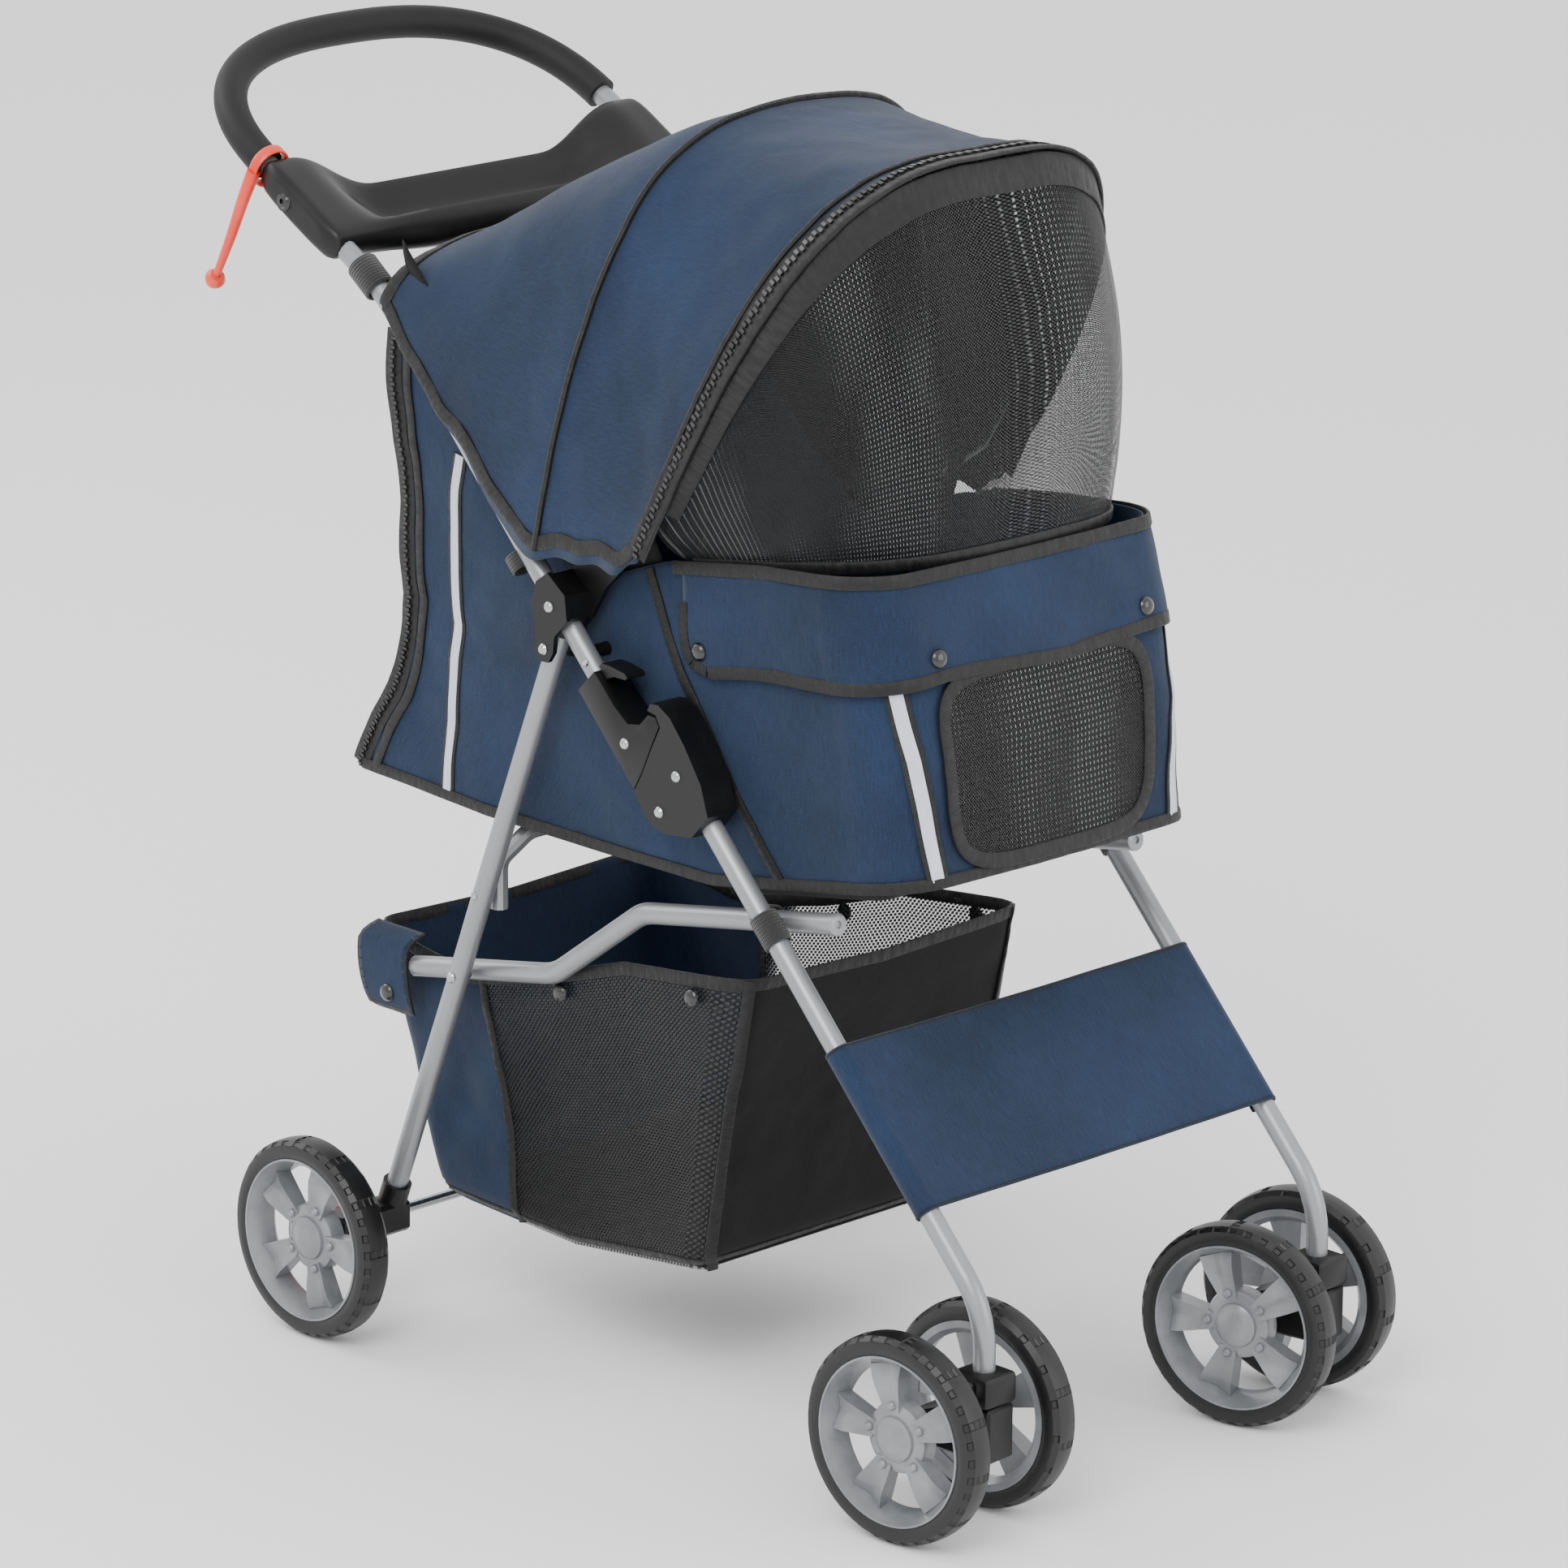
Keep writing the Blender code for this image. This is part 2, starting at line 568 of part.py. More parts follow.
def caster(side, sign):
    """Swivelling twin-wheel caster under the front tube."""
    axis = Vector((sign * HALF_TRACK, FRONT_AXIS_Y, 0.0))
    yaw = CASTER_YAW[side]
    turn = Matrix.Translation(axis) @ Matrix.Rotation(math.radians(-yaw), 4, "Z")
    cap = box("cap", (-16 * MM, -17 * MM, 98 * MM), (16 * MM, 17 * MM, 121 * MM))
    cap = softened(cap, 4 * MM, 2)
    stud = box("boss", (-20 * MM, -7 * MM, 103 * MM), (20 * MM, 7 * MM, 117 * MM))
    cap = combine(cap, softened(stud, 2 * MM, 1), "UNION")
    cap.transform(Matrix.Translation(axis))
    bore = sweep("bore", [axis + Vector((0, 0, FRONT_TUBE_END_Z - 0.5 * MM)), axis + Vector((0, 0, 0.14))],
                 TUBE_RADIUS + GAP)
    cap = combine(cap, bore, "DIFFERENCE")
    socket = sweep("socket", [axis + Vector((0, 0, 0.09)), axis + Vector((0, 0, 0.1085))], 5.3 * MM, 3)
    cap = combine(cap, socket, "DIFFERENCE")
    register("caster_cap_" + side, cap, PLASTIC)

    profile = [(-16, 97.4), (16, 97.4), (30, 92), (CASTER_TRAIL / MM + 13, 84), (CASTER_TRAIL / MM + 13, 66),
               (CASTER_TRAIL / MM + 4, 60), (-16, 58)]
    fork = prism("fork", [[(y * MM, z * MM) for y, z in profile]], -14 * MM, 14 * MM)
    fork = softened(fork, 2 * MM, 1)
    stem = sweep("stem", [Vector((0, 0, 0.092)), Vector((0, 0, 0.108))], 5 * MM, 3)
    fork = combine(fork, stem, "UNION")
    reach = TWIN_SPACING / 2 + 4 * MM
    axle = rod_x("axle", CASTER_TRAIL, WHEEL_RADIUS, AXLE_RADIUS, -reach, reach, 14)
    fork = combine(fork, axle, "UNION")
    fork.transform(turn)
    obj = register("caster_fork_" + side, fork, PLASTIC)
    set_origin(obj, (axis.x, axis.y, 0.09))
    for tag, out in (("outer", sign), ("inner", -sign)):
        centre = turn @ Vector((out * TWIN_SPACING / 2, CASTER_TRAIL, WHEEL_RADIUS))
        wheel("front_" + side + "_" + tag, centre, out, yaw)


# ================================================================ rear axle and brakes
def rear_running_gear():
    plane = HALF_TRACK + REAR_WHEEL_OUTSET
    y, z = REAR_AXLE
    reach = plane + 4 * MM
    axle = rod_x("rear_axle", y, z, AXLE_RADIUS, -reach, reach, 14)
    obj = register("rear_axle", axle, STEEL)
    set_origin(obj, (0, y, z))
    for side, sign in SIDES:
        wheel("rear_" + side, Vector((sign * plane, y, z)), sign)
        axle_bracket(side, sign, plane)


def axle_bracket(side, sign, plane):
    """Foot of the leg: socket, brake housing and the pedal behind it."""
    y, z = REAR_AXLE
    inner = sign * (HALF_TRACK - 12 * MM)
    outer = sign * (plane - TYRE_WIDTH / 2 - 3.5 * MM)
    low, high = min(inner, outer), max(inner, outer)
    mesh = box("foot", (low, y - 14 * MM, z - 12 * MM), (high, y + 12 * MM, z + 12 * MM))
    mesh = softened(mesh, 3 * MM, 1)
    neck_top = Vector(REAR_AXLE) - LEG_DIR * 30 * MM
    neck = sweep("neck", in_side(sign * HALF_TRACK, [neck_top, Vector(REAR_AXLE)]), TUBE_RADIUS + 3 * MM)
    mesh = combine(mesh, neck, "UNION")
    leg_end = Vector(REAR_AXLE) - LEG_DIR * 8.6 * MM
    leg_top = Vector(REAR_AXLE) - LEG_DIR * 60 * MM
    hole = sweep("hole", in_side(sign * HALF_TRACK, [leg_top, leg_end]), TUBE_RADIUS + GAP)
    mesh = combine(mesh, hole, "DIFFERENCE")
    hole = rod_x("hole", y, z, AXLE_RADIUS + GAP, -0.4, 0.4, 14)
    mesh = combine(mesh, hole, "DIFFERENCE")
    register("axle_bracket_" + side, mesh, PLASTIC)

    pedal = prism("pedal", [[(y + 12.8 * MM, z + 4 * MM), (y + 12.8 * MM, z + 10 * MM), (y + 20 * MM, z + 12 * MM),
                             (y + 44 * MM, z + 4 * MM), (y + 43 * MM, z - 1 * MM), (y + 20 * MM, z + 2 * MM)]],
                  sign * (HALF_TRACK + 22 * MM), sign * (plane - TYRE_WIDTH / 2 - 5 * MM))
    pedal = softened(pedal, 1 * MM, 1)
    obj = register("brake_pedal_" + side, pedal, RED)
    set_origin(obj, (sign * (HALF_TRACK + 40 * MM), y + 16 * MM, z + 6 * MM))


def cross_bar():
    """U-shaped bar between the rear legs, under the cabin."""
    x = HALF_TRACK - TUBE_RADIUS - 7.4 * MM
    y, z = Vector(LEG_PIVOT) + LEG_DIR * 0.425 * LEG_LENGTH
    points = [(-x, y, z - 14 * MM), (-x, y, z + 22 * MM), (-x + 22 * MM, y - 8 * MM, 388 * MM)]
    points += [(-p[0], p[1], p[2]) for p in reversed(points)]
    path = arc_path(points, [14 * MM] * 4, 3)
    mesh = sweep("cross_bar", path, 6.5 * MM, 3)
    return register("cross_bar", mesh, SILVER)


# ================================================================ soft parts
CABIN_SIDE = [(-204, 432), (-192, 520), (-165, 644), (-60, 636), (40, 621), (104, 598), (150, 606),
              (230, 680), (300, 742), (322, 742), (320, 660), (306, 545), (326, 470), (364, 404), (230, 397.5),
              (-8, 397.5), (-86, 411)]
CABIN_INNER = [(-198, 440), (-186, 520), (-158, 660), (-60, 760), (300, 900), (316, 750), (314, 660),
               (300, 545), (320, 470), (354, 411), (230, 404), (-8, 404), (-86, 418)]
BASKET_SIDE = [(-34, 328), (90, 316), (170, 288), (255, 272), (362, 284), (330, 200), (294, 90), (150, 84),
               (8, 100)]
BASKET_INNER = [(-30, 420), (356, 420), (354, 284), (324, 200), (288, 94), (150, 88), (12, 104), (-29, 328)]


def plan_outline(half, front, rear, corner, bow):
    """Plan of the cabin: square at the back, round corners and a bowed front."""
    points = [(half, rear), (half, front + corner)]
    for step in range(1, 6):
        angle = math.pi / 2 * step / 6
        points.append((half - corner * 0.55 * (1 - math.cos(angle)),
                       front + corner * (1 - math.sin(angle)) + bow))
    points.append((half * 0.4, front + bow * 0.25))
    points += [(-x, y) for x, y in reversed(points)]
    return points


def scaled(points):
    return [(a * MM, b * MM) for a, b in points]


def tub(name, side, inner, half, plan, inner_plan, look):
    """Open-topped fabric tub: side profile and plan intersected, then hollowed."""
    wall = 4 * MM
    mesh = prism(name, [scaled(side)], -half, half)
    hollow = prism("hollow", [scaled(inner)], -half + wall, half - wall)
    if plan:
        mesh = combine(mesh, plan_prism("plan", plan, 0.0, 1.0), "INTERSECT")
        hollow = combine(hollow, plan_prism("plan", inner_plan, 0.0, 1.0), "INTERSECT")
    mesh = combine(mesh, hollow, "DIFFERENCE")
    return register(name, mesh, look)


def arch(half, base, crown, steps=20, square=0.62, rise=0.72):
    """Upside-down U from the right base to the left base, leaning from base to crown."""
    points = []
    base, crown = Vector(base), Vector(crown)
    for step in range(steps + 1):
        angle = math.pi * step / steps
        side = -math.copysign(abs(math.cos(angle)) ** square, math.cos(angle))
        height = abs(math.sin(angle)) ** rise
        y, z = base + (crown - base) * height
        points.append(Vector((side * half, y, z)))
    return points


def shell(name, rows, look, thickness=SKIN, closed_ends=True):
    """Closed skin from rows of points: the rows are the outer face."""
    bm = bmesh.new()
    grid = [[bm.verts.new(p) for p in row] for row in rows]
    for upper, lower in zip(grid, grid[1:]):
        for k in range(len(upper) - 1):
            bm.faces.new((upper[k], upper[k + 1], lower[k + 1], lower[k]))
    bmesh.ops.remove_doubles(bm, verts=bm.verts, dist=1e-6)
    bmesh.ops.recalc_face_normals(bm, faces=bm.faces)
    mesh = bpy.data.meshes.new(name)
    bm.to_mesh(mesh)
    bm.free()
    holder = bpy.data.objects.new(name + "_skin", mesh)
    PARTS.objects.link(holder)
    solid = holder.modifiers.new("solid", "SOLIDIFY")
    solid.thickness = thickness
    solid.offset = 0.0
    solid.use_even_offset = True
    result = baked(holder)
    bpy.data.objects.remove(holder, do_unlink=True)
    return register(name, clean(result), look)


# rows of the canopy: base point and crown point of each arch, rear to front
CANOPY_ROWS = [((297, 762), (284, 812)), ((262, 724), (232, 845)), ((215, 672), (170, 885)), ((160, 620), (86, 920)),
               ((104, 612), (28, 920)), ((60, 618), (-48, 916)), ((34, 626), (-124, 912))]


def canopy():
    rows = [arch(CANOPY_HALF, *(Vector(p) * MM for p in pair)) for pair in CANOPY_ROWS]
    return shell("canopy", rows, BLUE)


def front_window():
    """Mesh panel from the front arch down to the cabin's front edge."""
    top = arch(CANOPY_HALF - 1 * MM, Vector((27, 632)) * MM, Vector((-129, 911)) * MM)
    count = len(top) - 1
    bottom = []
    for step in range(count + 1):
        angle = math.pi * step / count
        side = -math.copysign(abs(math.cos(angle)) ** 0.55, math.cos(angle)) * (CABIN_HALF - 4 * MM)
        y = 20 * MM - 184 * MM * abs(math.sin(angle)) ** 0.62
        z = 648.5 * MM - 21 * MM * (y + 164 * MM) / (184 * MM)
        bottom.append(Vector((side, y, z)))
    middle = [a.lerp(b, 0.5) + Vector((0, -14 * MM * math.sin(math.pi * k / count), 0))
              for k, (a, b) in enumerate(zip(top, bottom))]
    obj = shell("front_window", [top, middle, bottom], BLACK_CLOTH, 1.6 * MM)
    set_origin(obj, (0, -164 * MM, 647 * MM))
    return obj


def hoop(name, pivot, foot, crown, half):
    """Bent wire bow; its ends pivot inside the brackets and flare out to the skin."""
    ends = LOCK_IN - 3.2 * MM
    pivot, foot = Vector(pivot), Vector(foot)
    flare = pivot.lerp(foot, 0.5)
    bow = arch(half, foot, crown, 16)
    right = [Vector((-ends, *pivot)), Vector((-ends, *flare))]
    left = [Vector((ends, *flare)), Vector((ends, *pivot))]
    mesh = sweep(name, right + bow + left, HOOP_RADIUS, 2)
    obj = register(name, mesh, STEEL)
    set_origin(obj, (0, *pivot))
    return obj


def front_sheet():
    """Fabric panel between the front tubes, with a sleeve round each tube."""
    top = ((315 * MM) - FRONT_LINE.y) / U_DIR.y
    length = 132 * MM
    inner, outer, half = TUBE_RADIUS + 2 * GAP, TUBE_RADIUS + 2 * GAP + 1.6 * MM, 1.2 * MM
    steps = 16
    start = math.asin(half / outer)
    rim = [math.pi - start - (2 * math.pi - 2 * start) * k / steps for k in range(steps + 1)]
    outline = [(HALF_TRACK + outer * math.cos(a), outer * math.sin(a)) for a in rim]
    outline += [(-x, -h) for x, h in outline]
    holes = []
    for _, sign in SIDES:
        holes.append([(sign * HALF_TRACK + inner * math.cos(2 * math.pi * k / steps),
                       inner * math.sin(2 * math.pi * k / steps)) for k in range(steps)])
    mesh = prism("front_sheet", [outline] + holes, -length / 2, length / 2)
    # prism axes: y holds the panel's width, z its thickness, x its run along the tube
    along, across = U_DIR, N_DIR
    middle = FRONT_LINE + U_DIR * (top - length / 2)
    turn = Matrix(((0, 1, 0, 0), (along.x, 0, across.x, middle.x), (along.y, 0, across.y, middle.y), (0, 0, 0, 1)))
    mesh.transform(turn)
    return register("front_sheet", clean(mesh), BLUE)


def hang_tie():
    """Looped plastic tie round the right handle tube with its tail hanging down."""
    y, z = handle_point((TRAY_SLEEVE[1] + FOAM_START) / 2)
    ring_r = TUBE_RADIUS + 2.2 * MM
    across = Vector((-REACH_DIR.y, REACH_DIR.x))
    centre = Vector((-HALF_TRACK, y, z))
    points = []
    for step in range(14):
        angle = math.radians(90 + 326 * step / 13)
        points.append(centre + Vector((-math.sin(angle) * ring_r, *(across * math.cos(angle) * ring_r))))
    last = points[-1]
    tail = [(-8, 1, 0), (-13, 6, -12), (-17, 20, -50), (-20, 30, -82)]
    points += [last + Vector(step) * MM for step in tail]
    mesh = sweep("hang_tie", points, 1.5 * MM, 2)
    return register("hang_tie", mesh, RED)


# ================================================================ assembly
for side, sign in SIDES:
    front_tube(side, sign)
    rear_leg(side, sign)
    rail(side, sign)
    lock_lower(side, sign)
    lock_upper(side, sign)
    lock_trigger(side, sign)
    bracket(side, sign)
    spacer_peg(side, sign)
    caster(side, sign)
    rivet("rivet_fold_" + side, A, sign, LOCK_IN, LOCK_OUT)
    rivet("rivet_leg_" + side, LEG_PIVOT, sign, LOCK_IN, LOCK_OUT)
    rivet("rivet_rail_" + side, C_PIVOT, sign, HALF_TRACK - TUBE_RADIUS, HALF_TRACK + TUBE_RADIUS)
    rivet("rivet_front_" + side, RAIL_PIVOT, sign, HALF_TRACK - RAIL_INSET - TUBE_RADIUS, HALF_TRACK + TUBE_RADIUS)
handle_tube()
handle_foam()
tray()
rear_running_gear()
cross_bar()
tub("cabin", CABIN_SIDE, CABIN_INNER, CABIN_HALF,
    plan_outline(CABIN_HALF, -206 * MM, 0.4, 62 * MM, 6 * MM),
    plan_outline(CABIN_HALF - 4 * MM, -201 * MM, 0.4, 62 * MM, 6 * MM), BLUE)
tub("basket", BASKET_SIDE, BASKET_INNER, BASKET_HALF, None, None, BLACK_CLOTH)
canopy()
front_window()
hoop("mid_hoop", MID_HOOP_PIVOT, (108 * MM, 652 * MM), (90 * MM, 906 * MM), CANOPY_HALF - 8 * MM)
hoop("front_hoop", FRONT_HOOP_PIVOT, (46 * MM, 650 * MM), (-112 * MM, 902 * MM), CANOPY_HALF - 7 * MM)
front_sheet()
hang_tie()

for spare in (TYRE, RIM):
    bpy.data.meshes.remove(spare)

# the box of the whole stroller is centred on the origin, wheels on z = 0
corners = [obj.matrix_basis @ vert.co for obj in PARTS.objects for vert in obj.data.vertices]
low = [min(c[k] for c in corners) for k in range(3)]
high = [max(c[k] for c in corners) for k in range(3)]
shift = Vector((-(low[0] + high[0]) / 2, -(low[1] + high[1]) / 2, -low[2]))
for obj in PARTS.objects:
    obj.location = obj.location + shift
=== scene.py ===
"""Looks of the folding pet stroller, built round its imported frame.

Lengths here are in millimetres until at() or MM turns them into metres.  The stroller
faces -Y and its right-hand side is -X.  Side-view points are (y, z), measured from the
same zero as the frame's pivots.
"""
import json
from math import asin, atan2, copysign, cos, degrees, dist, hypot, pi, radians, sin

import bmesh
import bpy
from mathutils import Matrix, Vector, noise


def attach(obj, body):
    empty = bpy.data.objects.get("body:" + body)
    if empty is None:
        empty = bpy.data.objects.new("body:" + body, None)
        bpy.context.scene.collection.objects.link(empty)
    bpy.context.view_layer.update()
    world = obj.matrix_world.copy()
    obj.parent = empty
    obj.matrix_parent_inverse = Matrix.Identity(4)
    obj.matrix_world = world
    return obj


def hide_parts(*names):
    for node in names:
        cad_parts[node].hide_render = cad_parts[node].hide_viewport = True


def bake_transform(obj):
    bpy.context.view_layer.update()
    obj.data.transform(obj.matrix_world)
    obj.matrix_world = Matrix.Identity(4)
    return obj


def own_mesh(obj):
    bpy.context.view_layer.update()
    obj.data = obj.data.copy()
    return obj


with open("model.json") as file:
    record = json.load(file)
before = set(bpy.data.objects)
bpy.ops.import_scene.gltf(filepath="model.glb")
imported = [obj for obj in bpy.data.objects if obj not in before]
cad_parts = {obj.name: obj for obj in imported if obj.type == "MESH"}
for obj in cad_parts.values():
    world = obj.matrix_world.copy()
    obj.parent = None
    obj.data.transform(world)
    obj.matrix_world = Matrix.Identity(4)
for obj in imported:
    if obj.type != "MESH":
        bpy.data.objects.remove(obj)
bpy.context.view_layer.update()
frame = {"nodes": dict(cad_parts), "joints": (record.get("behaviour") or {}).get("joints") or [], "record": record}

MM = 0.001
JOINTS = {joint["name"]: joint for joint in frame["joints"]}
NODES = frame["nodes"]
ZERO = Vector(JOINTS["fold"]["pos_m"]) - Vector((0, 9, 452.6)) * MM
SIDES = (("right", -1), ("left", 1))
TUBE_X = 170
UP_TUBE = (cos(radians(46.6)), sin(radians(46.6)))


def at(x, y, z):
    return ZERO + Vector((x, y, z)) * MM


def mix(a, b, share):
    return a + (b - a) * share


def hump(share):
    """0 at both ends of 0 to 1, and 1 half way."""
    return sin(pi * share)


def shown(name, data):
    """Object in the scene for some data."""
    obj = bpy.data.objects.new(name, data)
    bpy.context.scene.collection.objects.link(obj)
    return obj


def ease(x):
    x = min(1.0, max(0.0, x))
    return x * x * (3 - 2 * x)


def between(pairs, x):
    """Value at x of a line through (x, value) pairs."""
    for (x0, a), (x1, b) in zip(pairs, pairs[1:]):
        if x <= x1:
            return mix(a, b, max(0.0, (x - x0) / (x1 - x0)))
    return pairs[-1][1]


def flowing(points, share):
    """Smooth curve through points, share 0 to 1 along it."""
    spans = len(points) - 1
    place = min(max(share, 0.0), 1.0) * spans
    k = min(int(place), spans - 1)
    t = place - k
    p = [Vector(points[min(max(k + step, 0), spans)]) for step in (-1, 0, 1, 2)]
    return (p[1] * 2 + (p[2] - p[0]) * t + (p[0] * 2 - p[1] * 5 + p[2] * 4 - p[3]) * t * t
            + (p[1] * 3 - p[0] - p[2] * 3 + p[3]) * t * t * t) * 0.5


# ======== camera
AIM_AZIMUTH, AIM_TILT, AIM_ROLL = radians(43.99), radians(15.73), radians(0.32)
CAMERA_SPOT = (-3606.8, -3596.1, 1919.2)
SENSOR, LENS = 36.0, 170.910559
# how far the camera looks to the right of and below its aim, per unit of distance
OFF_CENTRE = (0.00878742, 0.00848215)


def studio_camera():
    """Camera about five metres off the near front corner."""
    sin_turn, cos_turn = sin(AIM_AZIMUTH), cos(AIM_AZIMUTH)
    look = Vector((sin_turn * cos(AIM_TILT), cos_turn * cos(AIM_TILT), -sin(AIM_TILT)))
    level = Vector((cos_turn, -sin_turn, 0))
    rise = level.cross(look)
    right = level * cos(AIM_ROLL) + rise * sin(AIM_ROLL)
    up = rise * cos(AIM_ROLL) - level * sin(AIM_ROLL)
    look = (look + right * OFF_CENTRE[0] - up * OFF_CENTRE[1]).normalized()
    right = (right - look * right.dot(look)).normalized()
    up = right.cross(look)
    data = bpy.data.cameras.new("studio_camera")
    data.sensor_width = SENSOR
    data.lens = LENS
    data.clip_end = 100.0
    camera = shown("studio_camera", data)
    turn = Matrix((right, up, -look)).transposed().to_4x4()
    camera.matrix_world = Matrix.Translation(at(*CAMERA_SPOT)) @ turn
    bpy.context.scene.camera = camera


studio_camera()


# ======== material maths
def linear(code):
    """Linear colour from a hex code."""
    parts = [int(code[k:k + 2], 16) / 255 for k in (0, 2, 4)]
    return tuple(p / 12.92 if p <= 0.04045 else ((p + 0.055) / 1.055) ** 2.4 for p in parts) + (1.0,)


class Wire:
    """A value socket that Python's operators turn into Math nodes."""

    def __init__(self, finish, socket):
        self.finish = finish
        self.socket = socket

    def math(self, operation, *others):
        return self.finish.add("Math", {"operation": operation}, dict(enumerate((self,) + others)))

    def __add__(self, other):
        return self.math("ADD", other)

    def __sub__(self, other):
        return self.math("SUBTRACT", other)

    def __mul__(self, other):
        return self.math("MULTIPLY", other)

    def __rsub__(self, other):
        return self.finish.add("Math", {"operation": "SUBTRACT"}, {0: other, 1: self})

    def soft(self, low, high):
        """0 below low, 1 above high."""
        return self.finish.add("MapRange", {"interpolation_type": "SMOOTHSTEP"},
                               {"Value": self, "From Min": low, "From Max": high})


class Finish:
    """One Principled material and the nodes that feed it."""

    def __init__(self, name, roughness=0.6, metallic=0.0, **fixed):
        self.material = bpy.data.materials.new(name)
        self.material.use_nodes = True
        self.tree = self.material.node_tree
        self.shader = self.tree.nodes["Principled BSDF"]
        self.shader.inputs["Roughness"].default_value = roughness
        self.shader.inputs["Metallic"].default_value = metallic
        for name, value in fixed.items():
            self.shader.inputs[name.replace("_", " ")].default_value = value

    def add(self, kind, settings=None, inputs=None, output=0):
        node = self.tree.nodes.new("ShaderNode" + kind)
        for name, value in (settings or {}).items():
            if name == "stops":
                ramp = node.color_ramp.elements
                while len(ramp) < len(value):
                    ramp.new(0.5)
                for element, (place, colour) in zip(ramp, value):
                    element.position = place
                    element.color = colour
            else:
                setattr(node, name, value)
        for key, value in (inputs or {}).items():
            if isinstance(value, Wire):
                self.tree.links.new(value.socket, node.inputs[key])
            else:
                node.inputs[key].default_value = value
        return Wire(self, node.outputs[output])

    def place(self, cloth=False, scale=(1, 1, 1), turn=(0, 0, 0)):
        """Where on the piece: metres along the cloth, or in the stroller's own space."""
        if cloth:
            where = self.add("UVMap", {"uv_map": "cloth"})
        else:
            where = self.add("TexCoord", output="Object")
        return self.add("Mapping", None, {"Vector": where, "Scale": scale, "Rotation": turn})

    def noise(self, where, scale, detail=2.0, roughness=0.5, warp=0.0):
        return self.add("TexNoise", None, {"Vector": where, "Scale": scale, "Detail": detail,
                                           "Roughness": roughness, "Distortion": warp})

    def axes(self, where):
        node = self.tree.nodes.new("ShaderNodeSeparateXYZ")
        self.tree.links.new(where.socket, node.inputs[0])
        return [Wire(self, socket) for socket in node.outputs[:2]]

    def wave(self, value, period):
        """-1 to 1 with one cycle in each period."""
        return (value * (2 * pi / period)).math("SINE")

    def colour(self, share, first, second):
        colours = {0: share, 6: linear(first), 7: linear(second)}
        return self.add("Mix", {"data_type": "RGBA"}, colours, 2)

    def paint(self, colour=None, roughness=None, alpha=None):
        for key, value in (("Base Color", colour), ("Roughness", roughness), ("Alpha", alpha)):
            if isinstance(value, Wire):
                self.tree.links.new(value.socket, self.shader.inputs[key])
            elif value is not None:
                self.shader.inputs[key].default_value = value

    def emboss(self, height, depth, strength=1.0):
        bump = self.add("Bump", None, {"Height": height, "Distance": depth, "Strength": strength})
        self.tree.links.new(bump.socket, self.shader.inputs["Normal"])


def woven_cloth(name, dark, light, rough=0.82, depth=0.00025, sheen=0.12):
    """Plain-weave polyester with a heathered tone and soft creases."""
    cloth = Finish(name, Sheen_Weight=sheen, Sheen_Roughness=0.4, Specular_IOR_Level=0.25)
    flat = cloth.place(cloth=True)
    across, along = cloth.axes(flat)
    weave = cloth.wave(across, 0.0011) * cloth.wave(along, 0.0011)
    fleck = cloth.noise(flat, 900.0, 2.0, 0.7)
    streak = cloth.noise(cloth.place(cloth=True, scale=(1.0, 0.12, 1.0)), 700.0, 1.0)
    cloud = cloth.noise(cloth.place(), 7.0, 3.0, 0.55)
    tone = (fleck - 0.5) * 0.9 + (streak - 0.5) * 0.5 + weave * 0.14 + (cloud - 0.5) * 1.0 + 0.5
    cloth.paint(cloth.colour(tone.soft(0.0, 1.0), dark, light), rough)
    crease = cloth.noise(cloth.place(), 22.0, 4.0, 0.55, 0.4)
    cloth.emboss(weave * 0.35 + fleck * 0.4 + crease * 7.0, depth)
    return cloth.material


def satin_tape(name, dark, light):
    """Bias binding: shiny, finely ribbed and puckered by its stitching."""
    tape = Finish(name, Sheen_Weight=0.04, Specular_IOR_Level=0.35)
    flat = tape.place(cloth=True)
    along = tape.axes(flat)[1]
    pucker = tape.noise(tape.place(cloth=True, scale=(1.0, 2.2, 1.0)), 90.0, 2.0)
    fibre = tape.wave(along, 0.0007)
    tone = tape.noise(flat, 300.0, 2.0)
    tape.paint(tape.colour(tone, dark, light), pucker.soft(0.2, 0.8) * 0.25 + 0.4)
    tape.emboss(pucker * 4.0 + fibre * 0.15, 0.0004)
    return tape.material


def knitted_net(name, pitch, dark, light, shut, streak_pitch, painted_glint_share):
    """Knitted mesh: holes between the threads, and a painted highlight on the cords where they would catch the
    light.
    """
    net = Finish(name, roughness=0.45, Specular_IOR_Level=0.6)
    flat = net.place(cloth=True)
    drift = (net.noise(net.place(), 14.0, 2.0) - 0.5) * 0.006
    across, along = net.axes(flat)
    across = across + drift
    hole = (net.wave(across, pitch) * net.wave(along, pitch * 1.15)).soft(-0.45, 0.15)
    cord = net.wave(across, streak_pitch).soft(0.72, 0.98)
    dash = net.wave(along, pitch * 1.9).soft(-0.2, 0.6)
    patch = net.noise(net.place(scale=(1.0, 1.0, 0.3)), 11.0, 3.0).soft(0.42, 0.62) * 0.85 + 0.08
    # painted highlight: cords, dashes and patches are lightened in the base colour to stand for glints on the
    # threads
    painted_glint = cord * dash * patch * painted_glint_share
    net.paint(net.colour(painted_glint, dark, light),
              alpha=1.0 - hole * (1.0 - shut) * (1.0 - painted_glint))
    net.emboss(1.0 - hole, 0.0004)
    return net.material


def moulded(name, code, light=None, roughness=0.5, grain=1500.0, depth=0.00008, **fixed):
    """Moulded plastic or rubber with a fine grain and slightly rubbed high spots."""
    part = Finish(name, roughness, **fixed)
    where = part.place()
    fine = part.noise(where, grain, 2.0, 0.6)
    worn = part.noise(where, 28.0, 4.0, 0.6)
    part.paint(part.colour(worn.soft(0.35, 0.75), code, light or code),
               (worn - 0.5) * 0.18 + (fine - 0.5) * 0.1 + roughness)
    part.emboss(fine + worn * 0.6, depth)
    return part.material


